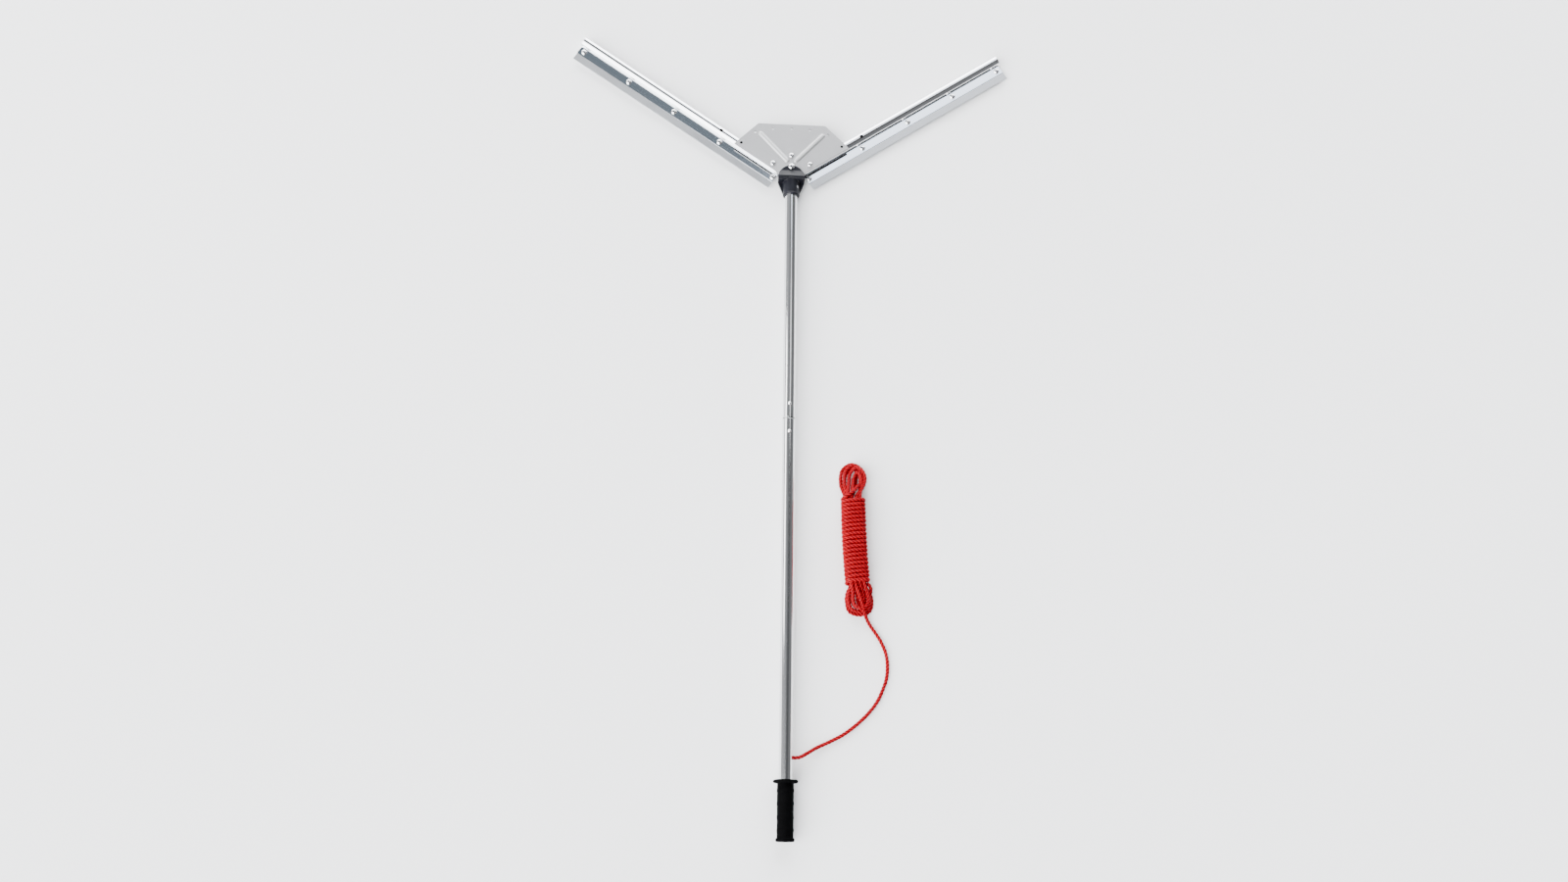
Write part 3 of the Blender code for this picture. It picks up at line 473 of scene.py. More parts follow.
def hankRoute():
    low, along, across = hankFrame()
    gap = rope["spacing"]
    floorZ = rope["diameter"] / 2 + 0.3 * mm
    middle = floorZ + gap * 2

    def at(u, v, w):
        # the whole hank lies a little bowed
        bow = rope["bow"] * sin(pi * min(max(u, 0), 259) / 259)
        return low + along * u * mm + across * (v * mm - bow) + Vector((0, 0, w))

    # each turn: its left run as (in the wraps, at the bottom, at the top), its right run the same way, in mm
    turns = [
        {"row": 2, "left": (-4.0, -6.0, 1.5), "right": (12.2, 18.0, 17.0), "top": 262.0, "bottom": -12.0,
         "raised": 8.5},
        {"row": 2, "left": (-12.2, -11.5, -7.5), "right": (4.0, 9.0, 23.5), "top": 271.0, "bottom": -5.0,
         "raised": 8.5},
        {"row": 1, "left": (-4.0, -2.0, 7.5), "right": (12.2, 22.0, 15.5), "top": 266.0, "bottom": -17.0,
         "raised": 0.0},
        {"row": 1, "left": (-12.2, -19.5, -16.0), "right": (4.0, 12.0, 23.5), "top": 277.0, "bottom": -9.0,
         "raised": 8.5},
        {"row": 0, "left": (-4.0, -11.0, -15.0), "right": (12.2, 26.5, 17.0), "top": 273.0, "bottom": -21.5,
         "raised": 0.0},
        {"row": 0, "left": (-12.2, -22.5, -22.5), "right": (4.0, 17.0, 23.5), "top": 281.0, "bottom": -13.0,
         "raised": 0.0},
    ]
    route = [at(-44, 21.5, floorZ), at(-32, 15, 7 * mm), at(-20, 10, 14 * mm), at(-7, 6, 21 * mm),
             at(6, 2.5, 27 * mm), at(20, -1.5, 29.4 * mm)]
    for i, turn in enumerate(turns):
        pinch = middle + (turn["row"] - 1) * gap
        loose = floorZ + turn["row"] * gap
        inner, lowSide, highSide = turn["left"]
        innerR, lowR, highR = turn["right"]
        leftTop, top = floorZ + turn["raised"] * mm, turn["top"]
        bend = (highSide + highR) / 2
        if i:
            route += [at(6, lowSide, loose), at(20, lowSide * 0.9, loose + 2 * mm)]
        route += [at(u, inner, pinch) for u in (36, 80, 125, 170, 204)]
        route += [at(222, (inner + highSide) / 2, (pinch + leftTop) / 2), at(240, highSide, leftTop),
                  at(top - 12, bend + (highSide - bend) * 0.85, leftTop)]
        route += [at(top, bend, (leftTop + loose) / 2), at(top - 12, bend + (highR - bend) * 0.85, loose)]
        route += [at(240, highR, loose), at(222, (innerR + highR) / 2, (pinch + loose) / 2)]
        route += [at(u, innerR, pinch) for u in (204, 170, 125, 80, 36)]
        if i < len(turns) - 1:
            after = turns[i + 1]
            nextLoose = floorZ + after["row"] * gap
            route += [at(20, lowR * 0.9, loose + 2 * mm), at(4, lowR, loose),
                      at(turn["bottom"] + 7, lowR * 0.8, loose)]
            route += [at(turn["bottom"], (lowR + after["left"][1]) / 2, (loose + nextLoose) / 2)]
            route += [at(turn["bottom"] + 7, after["left"][1] * 0.8, nextLoose)]
    # out at the bottom right, under the bundle and round and round up it
    route += [at(20, 9, floorZ), at(14, 17, floorZ + 2 * mm), at(20, 24.5, floorZ + 8 * mm),
              at(29, 24.5, floorZ + 14 * mm)]
    halfWide, halfHigh, power = 20.6, 16.5, 3.4
    count = rope["wraps"] * 16 + 8
    first, last = rope["wrapStart"] / mm, rope["wrapEnd"] / mm
    for i in range(count + 1):
        angle = -2 * pi * i / 16
        c, s = cos(angle), sin(angle)
        size = (abs(c) ** power + abs(s) ** power) ** (-1 / power)
        wobble = 0.5 * noise.noise(Vector((i * 0.11, 3.1, 0)))
        u = first - 4 + (last - first + 4) * i / count + wobble
        route.append(at(u, halfWide * c * size + 0.4 * noise.noise(Vector((i * 0.07, 0, 9.0))),
                        middle + halfHigh * s * size * mm))
    # the last of it lies slantwise over the left loops
    route += [at(208.5, -15.5, middle + 13.0 * mm), at(212, -8.5, middle + 14.0 * mm),
              at(218.5, -1.0, middle + 12.0 * mm)]
    route += [at(225.5, 6.0, middle + 8.5 * mm), at(232.5, 11.5, middle + 4.0 * mm)]
    return route


def strandRadius(angle, radius):
    # outline of three touching strands, the grooves partly filled by their yarn
    third = 2 * pi / 3
    phi = (angle + third / 2) % third - third / 2
    offset, strand = 0.536 * radius, 0.464 * radius
    reach = offset * cos(phi) + sqrt(max(strand ** 2 - (offset * sin(phi)) ** 2, 0))
    return max(reach, rope["groove"] * radius)


def ropeMesh(path):
    radius = rope["diameter"] / 2
    sides = rope["sides"]
    rings = len(path)
    tangents = []
    for i in range(rings):
        tangents.append((path[min(i + 1, rings - 1)] - path[max(i - 1, 0)]).normalized())
    normal = tangents[0].orthogonal().normalized()
    verts, faces, space, groove = [], [], [], []
    travelled = 0.0
    for i, (p, t) in enumerate(zip(path, tangents)):
        if i:
            travelled += (p - path[i - 1]).length
            normal = (normal - t * normal.dot(t)).normalized()
        side = t.cross(normal)
        twist = 2 * pi * travelled / rope["pitch"]
        for k in range(sides):
            around = 2 * pi * k / sides
            reach = strandRadius(around, radius)
            spin = around + twist
            verts.append(p + (normal * cos(spin) + side * sin(spin)) * reach)
            space.append((travelled, reach * cos(around), reach * sin(around)))
            # painted shade: the groove value rises toward the grooves between strands and darkens the rope
            # there
            groove.append(max(0.0, 0.85 - (reach / radius - rope["groove"]) / 0.14))
    for i in range(rings - 1):
        for k in range(sides):
            a, b = i * sides + k, i * sides + (k + 1) % sides
            faces.append((a, b, b + sides, a + sides))
    faces.append(tuple(reversed(range(sides))))
    faces.append(tuple(range((rings - 1) * sides, rings * sides)))
    mesh = bpy.data.meshes.new("rope")
    mesh.from_pydata([tuple(v) for v in verts], [], faces)
    field = mesh.attributes.new("ropeSpace", "FLOAT_VECTOR", "POINT")
    field.data.foreach_set("vector", [x for triple in space for x in triple])
    depth = mesh.attributes.new("groove", "FLOAT", "POINT")
    depth.data.foreach_set("value", groove)
    mesh.shade_smooth()
    mesh.update()
    return mesh, travelled


ropeExit = centreOf("rope_knot")
ropePath = smoothPath([Vector(p) for p in freeStretch()] + hankRoute(), rope["ringEvery"])
ropeShape, ropeLength = ropeMesh(ropePath)
ropeYarn = laidRope()
ropeObject = placeMesh("throwRope", ropeShape, [ropeYarn])
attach(ropeObject, mainBody)
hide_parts("rope_run", "rope_hank", "rope_knot")
print("rope", round(ropeLength, 3), "m,", len(ropePath), "rings")


# where things are

headY = centreOf("yoke_screw_front").y
poleZ = centreOf("lower_pole").z
pivotX = centreOf("right_pivot_screw").x
pivotY = centreOf("right_pivot_screw").y
armAngle = radians(34.3)


def armMatrix(side):
    turn = armAngle if side > 0 else pi - armAngle
    return Matrix.Translation((side * pivotX, pivotY, 0)) @ Matrix.Rotation(turn, 4, "Z")


def armTurn(side):
    return -armAngle if side > 0 else armAngle - pi


arms = {"right": 1, "left": -1}
screwClear = 3.3 * mm
backScrew = 27.9 * mm
# edge loops this far either side of a hole
ringOffsets = [off * mm for off in (-7, -4.6, 4.6, 7)]


def shadeInsidePaint():
    # painted shade: a dark material for the insides of tubes and holes, where shade falls
    return mottledFinish("shadeInsidePaint", (0.015, 0.015, 0.016), 0.3, 0.8, (120.0, 3.0, 0.6),
                         [(0.3, (0.010, 0.010, 0.011)), (0.7, (0.022, 0.022, 0.024))])


def paintInside(obj, axisPoint, axisWay, within):
    # faces nearer the tube's axis than its bore take the second material, the painted shade
    way = Vector(axisWay).normalized()
    for face in obj.data.polygons:
        off = Vector(face.center) - Vector(axisPoint)
        off -= way * off.dot(way)
        if off.length < within:
            face.material_index = 1


def paintHoles(obj, spots, within):
    # so do the walls of the holes drilled down at these places, painted shade as well
    for face in obj.data.polygons:
        centre = Vector(face.center)
        if abs(face.normal.z) < 0.4 and min((centre.xy - Vector(spot)).length for spot in spots) < within:
            face.material_index = 1


paintedShadeDark = shadeInsidePaint()

steelZinc = zincPlate()
blackMoulded = mouldedBlack()
tubeMetal = drawnMetal("poleTube", (0.74, 0.745, 0.75), 0.10, turn=-pi / 2, streak=900, grain=0.03,
                       bumpiness=0.015)


def finishPiece(name, mesh, materials, body, slot, *nodes):
    obj = placeMesh(name, mesh, materials)
    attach(obj, body)
    if nodes:
        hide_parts(*nodes)
    return obj


def bevelRims(mesh, width, angle=40, segments=2):
    obj = addObject("rims", mesh)
    bevel = obj.modifiers.new("rims", "BEVEL")
    bevel.width = width
    bevel.segments = segments
    bevel.limit_method = "ANGLE"
    bevel.angle_limit = radians(angle)
    bevel.use_clamp_overlap = True
    return bakeObject(obj)


def addRings(mesh, way, places):
    # edge loops across a long piece keep its shading true beside a hole or an end
    def cut(work):
        for place in places:
            whole = work.verts[:] + work.edges[:] + work.faces[:]
            bmesh.ops.bisect_plane(work, geom=whole, dist=1e-7, plane_co=Vector(way) * place,
                                   plane_no=Vector(way))

    rework(mesh, cut)


# pole: two drawn tubes, a grip and two snap buttons

pole = {
    "radius": 12.7 * mm,
    "wall": 1.5 * mm,
    "rim": 0.3 * mm,
    "seamGap": 0.8 * mm,
    "buttonHole": 3.7 * mm,
    "ropeHole": 4.3 * mm,
}


def poleTube(name, cutters, holes):
    low, high = lowOf(name).y, highOf(name).y
    if name == "upper_pole":
        low += pole["seamGap"]
    else:
        high -= pole["seamGap"]
    r, inner, rim = pole["radius"], pole["radius"] - pole["wall"], pole["rim"]
    profile = [(r - rim, high), (r - rim * 0.3, high - rim * 0.3), (r, high - rim)]
    profile += [(r, high + (low - high) * i / 24) for i in range(1, 24)]
    profile += [(r, low + rim), (r - rim * 0.3, low + rim * 0.3), (r - rim, low), (inner, low), (inner, high)]
    mesh = lathe(profile, 128, closed=True)
    mesh.transform(Matrix.Translation((0, 0, poleZ)) @ lieAlongY)
    besideHoles = [y + off for y in holes for off in ringOffsets]
    addRings(mesh, (0, 1, 0), [low + 0.7 * mm, high - 0.7 * mm] + besideHoles)
    mesh = carve(mesh, cutters)
    smoothShade(mesh)
    return mesh


def makePole():
    upY = centreOf("upper_snap_button").y
    downY = centreOf("lower_snap_button").y
    top = poleZ + pole["radius"]
    upper = poleTube("upper_pole", [drum(pole["buttonHole"], 10 * mm, (0, upY, top), steps=64)], [upY])
    # painted shade: the dark material reaches the bore, the cut ends and the walls of the holes
    inside = pole["radius"] - 0.45 * mm  # takes in the cut ends and the walls of the holes
    obj = finishPiece("upperTube", upper, [tubeMetal, paintedShadeDark], mainBody, "polished_aluminium",
                      "upper_pole")
    paintInside(obj, (0, 0, poleZ), (0, 1, 0), inside)
    ropeWay = Matrix.Rotation(pi / 2, 4, "Y")
    lower = poleTube("lower_pole", [
        drum(pole["buttonHole"], 10 * mm, (0, downY, top), steps=64),
        drum(pole["ropeHole"], 12 * mm, (pole["radius"], ropeExit.y, poleZ), ropeWay, steps=64),
    ], [downY, ropeExit.y])
    obj = finishPiece("lowerTube", lower, [tubeMetal, paintedShadeDark], mainBody, "polished_aluminium",
                      "lower_pole")
    paintInside(obj, (0, 0, poleZ), (0, 1, 0), inside)


button = {"radius": 3.4 * mm, "flange": 4.3 * mm, "flangeThick": 1.5 * mm}


def makeButtons():
    # domed stud, its head a little flattened by use, over a flange that the spring holds up
    for which in ("upper", "lower"):
        node = which + "_snap_button"
        spot, high, low = centreOf(node), highOf(node).z, lowOf(node).z
        r = button["radius"]
        profile = [(0, high), (r * 0.25, high - 0.06 * mm)]
        profile += [(r * sin(a), high - 0.06 * mm - (r * 0.86) * (1 - cos(a)))
                    for a in (0.45, 0.65, 0.85, 1.05, 1.25, 1.42, pi / 2)]
        profile += [(r, low + button["flangeThick"] + 0.3 * mm), (r + 0.3 * mm, low + button["flangeThick"])]
        profile += [(button["flange"], low + button["flangeThick"]), (button["flange"], low), (0, low)]
        mesh = lathe(profile, 48)
        mesh.transform(Matrix.Translation((spot.x, spot.y, 0)))
        shadeOutward(mesh)
        obj = finishPiece(which + "Button", mesh, [steelZinc, paintedShadeDark], which + "_button", "zinc_steel",
                          node)
        # painted shade: the steep sides of the stud and flange take the dark material, where shade falls in
        # the hole
        for face in obj.data.polygons:
            face.material_index = int(abs(face.normal.z) < 0.45)


grip = {
    "flange": 23.5 * mm,
    "flangeThick": 5.5 * mm,
    "body": 15.5 * mm,
    "ring": 0.55 * mm,
    "rim": 17.75 * mm,
    "rimThick": 6.0 * mm,
    "bore": 13.0 * mm,
    "floor": 4.0 * mm,
}


def makeGrip():
    low, high = lowOf("grip").y, highOf("grip").y
    length = high - low
    fl, ft, body = grip["flange"], grip["flangeThick"], grip["body"]
    profile = [(grip["bore"], length - 0.8 * mm), (grip["bore"] + 0.5 * mm, length)]
    profile += [(fl - ft * 0.5 + ft * 0.5 * sin(a), length - ft * 0.5 + ft * 0.5 * cos(a))
                for a in [pi * i / 14 for i in range(15)]]
    # a small fillet runs the flange into the body
    fillet = 1.6 * mm
    profile += [(body + fillet - fillet * sin(a), length - ft - fillet + fillet * cos(a))
                for a in [pi / 2 * i / 5 for i in range(1, 6)]]
    top, bottom = length - ft - fillet, grip["rimThick"] + 1.5 * mm
    steps = 120
    for i in range(1, steps):
        t = i / steps
        wave = cos(2 * pi * (4 * t - 0.5))
        swell = max(0.0, wave - 0.55) / 0.45
        profile.append((body + grip["ring"] * sin(min(1, swell) * pi / 2) - 0.15 * mm * sin(pi * t),
                        top + (bottom - top) * t))
    rim = grip["rim"]
    profile += [(body, bottom), (body + 0.5 * mm, bottom - 0.9 * mm), (rim - 1.6 * mm, bottom - 1.5 * mm)]
    profile += [(rim - 1.6 * mm + 1.6 * mm * sin(a), grip["rimThick"] - 1.6 * mm + 1.6 * mm * cos(a))
                for a in [pi / 2 * i / 6 for i in range(1, 7)]]
    profile += [(rim - 2.2 * mm + 2.2 * mm * cos(a), 2.2 * mm - 2.2 * mm * sin(a))
                for a in [pi / 2 * i / 7 for i in range(8)]]
    profile += [(9 * mm, 0), (8.2 * mm, 0.7 * mm), (2.2 * mm, 0.9 * mm), (1.6 * mm, 1.6 * mm), (0, 1.7 * mm)]
    inner = [(0, grip["floor"]), (grip["bore"], grip["floor"])]
    mesh = lathe(profile + inner + [profile[0]], 96)
    mesh.transform(Matrix.Translation((0, low, poleZ)) @ lieAlongY)
    shadeOutward(mesh, 50)
    finishPiece("handGrip", mesh, [gripRubber()], mainBody, "black_rubber", "grip")


makePole()
makeButtons()
makeGrip()
print("pole, buttons and grip done")


# arms: a round tube with a fin in one extrusion, and a ground blade on the fin

rail = {
    "radius": 11.1 * mm,
    "wall": 1.3 * mm,
    "inboard": 20.0 * mm,
    "length": 510.0 * mm,
    "finLow": -5.1 * mm,
    "finThick": 2.5 * mm,
    "finReach": 28.5 * mm,
    "fillet": 1.0 * mm,
    "holes": ((81.0 * mm, 2.9 * mm), (132.0 * mm, 3.75 * mm)),
}

blade = {
    "back": 11.4 * mm,
    "flat": 17.6 * mm,
    "bevel": 16.3 * mm,
    "thick": 1.5 * mm,
    "edge": 0.25 * mm,
    "hone": 1.1 * mm,
    "step": 0.24 * mm,
    "stepWide": 0.8 * mm,
    "length": 508.0 * mm,
    "z": 8.8 * mm,
    "line": 20.0 * mm,
    "screwHole": 2.8 * mm,
}

screwPlaces = [-14.2 * mm, 122.4 * mm, 240.6 * mm, 358.8 * mm, 477.0 * mm]

sectionToX = Matrix(((0, 0, 1, 0), (1, 0, 0, 0), (0, 1, 0, 0), (0, 0, 0, 1)))


def railSection(side):
    r, low, thick, reach = rail["radius"], rail["finLow"], rail["finThick"], rail["finReach"]
    high, f = low + thick, rail["fillet"]
    # the fin meets the tube with a fillet above and below, and ends in a rounded edge
    upY = sqrt((r + f) ** 2 - (high + f) ** 2)
    downY = sqrt((r + f) ** 2 - (low - f) ** 2)
    upAngle, downAngle = atan2(high + f, upY), atan2(low - f, downY)
    points = arcPoints((0, 0), r, upAngle, 2 * pi + downAngle, 104)
    points += arcPoints((downY, low - f), f, downAngle + pi, pi / 2, 5)[1:]
    half = thick / 2
    points += arcPoints((reach - half * 0.6, low + half * 0.6), half * 0.6, -pi / 2, 0, 4)
    points += arcPoints((reach - half * 0.6, high - half * 0.6), half * 0.6, 0, pi / 2, 4)
    points += arcPoints((upY, high + f), f, 3 * pi / 2, upAngle + pi, 5)[:-1]
    bore = ringPoints((0, 0), r - rail["wall"], 80)
    return [[(-side * y, z) for y, z in outline] for outline in (points, bore)]


def makeRail(label, side):
    mesh = filledOutline(railSection(side), rail["length"])
    mesh.transform(Matrix.Translation((-rail["inboard"], 0, rail["radius"])) @ sectionToX)
    top = rail["radius"] * 2
    cutters = [drum(radius, 8 * mm, (x, 0, top), steps=40) for x, radius in rail["holes"]]
    cutters += [drum(screwClear, 8 * mm, (0, 0, top), steps=40)]
    finZ = rail["radius"] + rail["finLow"]
    cutters += [drum(blade["screwHole"], 9 * mm, (x, -side * blade["line"], finZ + 1 * mm), steps=32)
                for x in screwPlaces]
    holePlaces = [0] + [x for x, radius in rail["holes"]] + screwPlaces
    addRings(mesh, (1, 0, 0), [x + off for x in holePlaces for off in ringOffsets])
    mesh = carve(mesh, cutters)
    mesh.transform(armMatrix(side))
    shadeOutward(mesh, 28)
    metal = drawnMetal(label + "RailTube", (0.82, 0.83, 0.845), 0.10, turn=armTurn(side), streak=1000,
                       grain=0.03, bumpiness=0.015)
    obj = finishPiece(label + "Rail", mesh, [metal, paintedShadeDark], label + "_arm", "extruded_aluminium",
                      label + "_rail")
    # painted shade: the bore and the walls of the lock holes take the dark material
    paintInside(obj, (side * pivotX, pivotY, rail["radius"]), (cos(armAngle) * side, sin(armAngle), 0),
                rail["radius"] - rail["wall"] + 0.2 * mm)
    paintHoles(obj, [(armMatrix(side) @ Vector((x, 0, 0))).xy for x, radius in rail["holes"]], 4.2 * mm)


def bladeSteel(label, side, ground):
    # the flat keeps its rolled finish, the bevel is ground across its width
    turn = armTurn(side)
    if ground:
        return drawnMetal(label + "BladeGround", (0.70, 0.715, 0.73), 0.32, turn=turn + pi / 2, streak=1500,
                          grain=0.08, bumpiness=0.05)
    return drawnMetal(label + "BladeFlat", (0.68, 0.71, 0.74), 0.07, turn=turn, streak=1200, grain=0.02,
                      bumpiness=0.008)


def makeBlade(label, side):
    back, thick, edge, hone = blade["back"], blade["thick"], blade["edge"], blade["hone"]
    flatEnd = back + blade["flat"]
    tip = flatEnd + blade["bevel"]
    slope = (thick - blade["step"] - edge) / (blade["bevel"] - blade["stepWide"])
    soft = 0.12 * mm
    section = [(back, soft), (back + soft, 0), (tip - 0.1 * mm, 0), (tip, 0.06 * mm), (tip, 0.10 * mm),
               (tip - hone, 0.10 * mm + hone * 0.22),
               (tip - hone - 0.05 * mm, edge + (hone + 0.05 * mm) * slope)]
    section += [(flatEnd + blade["stepWide"], thick - blade["step"]), (flatEnd, thick),
                (back + soft, thick), (back, thick - soft)]
    mesh = filledOutline([[(-side * y, z) for y, z in section]], blade["length"])
    mesh.transform(Matrix.Translation((-rail["inboard"], 0, blade["z"])) @ sectionToX)
    mesh = carve(mesh, [drum(blade["screwHole"], 8 * mm, (x, -side * blade["line"], blade["z"]), steps=40)
                        for x in screwPlaces])
    turnFacesOut(mesh)
    placeMaterial = [0] * len(mesh.polygons)
    for i, face in enumerate(mesh.polygons):
        if abs(face.center.y) > flatEnd + blade["stepWide"] and face.normal.z > 0.3:
            placeMaterial[i] = 1
    mesh.transform(armMatrix(side))
    smoothShade(mesh, 1.5)
    obj = finishPiece(label + "Blade", mesh, [bladeSteel(label, side, False), bladeSteel(label, side, True)],
                      label + "_arm", "blade_steel", label + "_blade")
    obj.data.polygons.foreach_set("material_index", placeMaterial)


plug = {"cap": 2.0 * mm, "gap": 0.3 * mm, "spigot": 9.5 * mm, "deep": 8.0 * mm, "round": 0.9 * mm}


def makePlugs(label, side):
    r, f = rail["radius"], plug["round"]
    top = plug["gap"] + plug["cap"]
    profile = [(0, top), (r * 0.5, top - 0.05 * mm)]
    profile += [(r - f + f * sin(a), top - f + f * cos(a)) for a in [pi / 2 * i / 6 for i in range(7)]]
    profile += [(r, plug["gap"]), (plug["spigot"], plug["gap"]),
                (plug["spigot"] - 0.3 * mm, -plug["deep"] * 0.5)]
    profile += [(plug["spigot"] - 0.6 * mm, -plug["deep"]), (0, -plug["deep"])]
    for which, turn, x, mat, slot in (
            ("inner", -pi / 2, -rail["inboard"], blackMoulded, "black_plastic"),
            ("outer", pi / 2, rail["length"] - rail["inboard"], capAlloy, "extruded_aluminium")):
        mesh = lathe(profile, 72)
        mesh.transform(armMatrix(side) @ Matrix.Translation((x, 0, r)) @ Matrix.Rotation(turn, 4, "Y"))
        shadeOutward(mesh)
        finishPiece(f"{label}{which.title()}Cap", mesh, [mat], label + "_arm", slot,
                    f"{label}_rail_plug_{which}")


def turnedAlloy():
    return mottledFinish("capAlloy", (0.80, 0.81, 0.82), 1.0, 0.3, (300.0, 3.0, 0.6),
                         roughs=(0.24, 0.38), bump=(0.05, 0.0003))


capAlloy = turnedAlloy()
for label, side in arms.items():
    makeRail(label, side)
    makeBlade(label, side)
    makePlugs(label, side)
print("arms done")


# gusset plate with two pressed beads

plate = {
    "thick": 3.0 * mm,
    "topY": 101.0 * mm,
    "topHalf": 70.5 * mm,
    "reach": 92.0 * mm,
    "foot": -23.7 * mm,
    "grid": 1.25 * mm,
    "beadHalf": 5.4 * mm,
    "beadRise": 2.4 * mm,
    "beadStart": (9.5 * mm, 16.5 * mm),
    "beadEnd": (65.0 * mm, 77.0 * mm),
    "indexRadius": 81.0 * mm,
    "indexHole": 2.9 * mm,
    "centreHole": 91.0 * mm,
    "fold": radians(55.7),
}


def plateCorners():
    edge = rail["radius"] - 0.6 * mm
    along = Vector((cos(armAngle), sin(armAngle)))
    across = Vector((sin(armAngle), -cos(armAngle)))
    start = Vector((pivotX, pivotY - headY)) + across * edge
    corner = start + along * plate["reach"]
    low = start - along * 12.5 * mm
    half = [(plate["topHalf"], plate["topY"]), tuple(corner), tuple(low), (low.x * 0.62, plate["foot"])]
    return half + [(-x, y) for x, y in reversed(half)]


def beadHeight(x, y):
    a, b = Vector(plate["beadStart"]), Vector(plate["beadEnd"])
    p, way = Vector((abs(x), y)), Vector(plate["beadEnd"]) - Vector(plate["beadStart"])
    t = min(max((p - a).dot(way) / way.length_squared, 0), 1)
    off = (p - a - way * t).length / plate["beadHalf"]
    if off >= 1:
        return 0.0
    shoulder = min(1.0, (1 - off) / 0.6)
    return plate["beadRise"] * (0.5 - 0.5 * cos(pi * shoulder))


def roundCorners(points, radius, steps=6):
    rounded = []
    for before, corner, after in zip(points[-1:] + points[:-1], points, points[1:] + points[:1]):
        c = Vector(corner)
        a, b = (Vector(before) - c).normalized(), (Vector(after) - c).normalized()
        half = a.angle(b) / 2
        reach = radius / tan(half)
        start, end, centre = c + a * reach, c + b * reach, c + (a + b).normalized() * (radius / sin(half))
        for i in range(steps + 1):
            spot = start.lerp(end, i / steps) - centre
            rounded.append(tuple(centre + spot.normalized() * radius))
    return rounded


def makePlate():
    lowZ, topZ = lowOf("gusset_plate").z, lowOf("gusset_plate").z + plate["thick"]
    corners = roundCorners(plateCorners(), 1.0 * mm)
    wide, deep = 124 * mm, (plate["topY"] - plate["foot"]) / 2 + 2 * mm
    middle = (plate["topY"] + plate["foot"]) / 2

    def pressed(work):
        bmesh.ops.create_grid(
            work, x_segments=int(wide * 2 / plate["grid"]), y_segments=int(deep * 2 / plate["grid"]), size=1,
            matrix=Matrix.Translation((0, middle, 0)) @ Matrix.Diagonal((wide, deep, 1, 1)))
        for vert in work.verts:
            vert.co.z = beadHeight(vert.co.x, vert.co.y)

    obj = addObject("plate", newMesh("plate", pressed))
    wall = obj.modifiers.new("wall", "SOLIDIFY")
    wall.thickness = plate["thick"]
    wall.offset = -1
    mesh = bakeObject(obj)
    mesh.transform(Matrix.Translation((0, headY, topZ)))
    blank = filledOutline([corners], 20 * mm)
    blank.transform(Matrix.Translation((0, headY, lowZ - 8 * mm)))
    turnFacesOut(blank)
    mesh = carve(mesh, [blank], "INTERSECT")
    places = []
    for step in range(3):
        angle = armAngle + plate["fold"] * step / 2
        places.append((pivotX + plate["indexRadius"] * cos(angle),
                       pivotY - headY + plate["indexRadius"] * sin(angle)))
    places += [(-x, y) for x, y in places] + [(0, plate["centreHole"])]
    cutters = [drum(plate["indexHole"], 12 * mm, (x, headY + y, topZ), steps=48) for x, y in places]
    screwSpots = [(pivotX, pivotY - headY), (-pivotX, pivotY - headY), (0, 0), (0, backScrew)]
    cutters += [drum(screwClear, 12 * mm, (x, headY + y, topZ), steps=40) for x, y in screwSpots]
    mesh = carve(mesh, cutters)
    shadeOutward(mesh, 40)
    obj = finishPiece("gussetPlate", mesh, [blastedSheet(topZ), paintedShadeDark], mainBody, "sheet_aluminium",
                      "gusset_plate")
    # painted shade: the walls of two index holes take the dark material
    paintHoles(obj, [(x, headY + y) for x, y in (places[0], places[3])], 3.6 * mm)
    # painted shade: the underside takes the dark material too, which is a guess
    for face in obj.data.polygons:
        if face.normal.z < -0.5:
            face.material_index = 1


makePlate()
print("gusset plate done")


# yoke: socket, webs and a domed flange in one moulding

yoke = {
    "socket": 16.8 * mm,
    "bore": 13.0 * mm,
    "face": -28.0 * mm,
    "lip": -65.3 * mm,
    "lipRing": 0.5 * mm,
    "flange": 27.5 * mm,
    "centre": -24.0 * mm,
    "brow": -33.0 * mm,
    "seat": -8.2 * mm,
    "flangeLow": 25.8 * mm,
    "flangeTop": 30.3 * mm,
    "browTop": 38.5 * mm,
    "webLow": 14.4 * mm,
    "webTop": 21.4 * mm,
    "webEnd": 14.5 * mm,
    "voxel": 0.62 * mm,
    "bracketHalf": 13.0 * mm,
}


def prism(points, low, high):
    mesh = filledOutline([points], high - low)
    mesh.transform(Matrix.Translation((0, headY, low)))
    turnFacesOut(mesh)
    return mesh


def sidePrism(points, half):
    # outline in (y, z), as wide as twice half
    mesh = filledOutline([[(y + headY, z) for y, z in points]], half * 2)
    mesh.transform(Matrix.Translation((-half, 0, 0)) @ sectionToX)
    turnFacesOut(mesh)
    return mesh


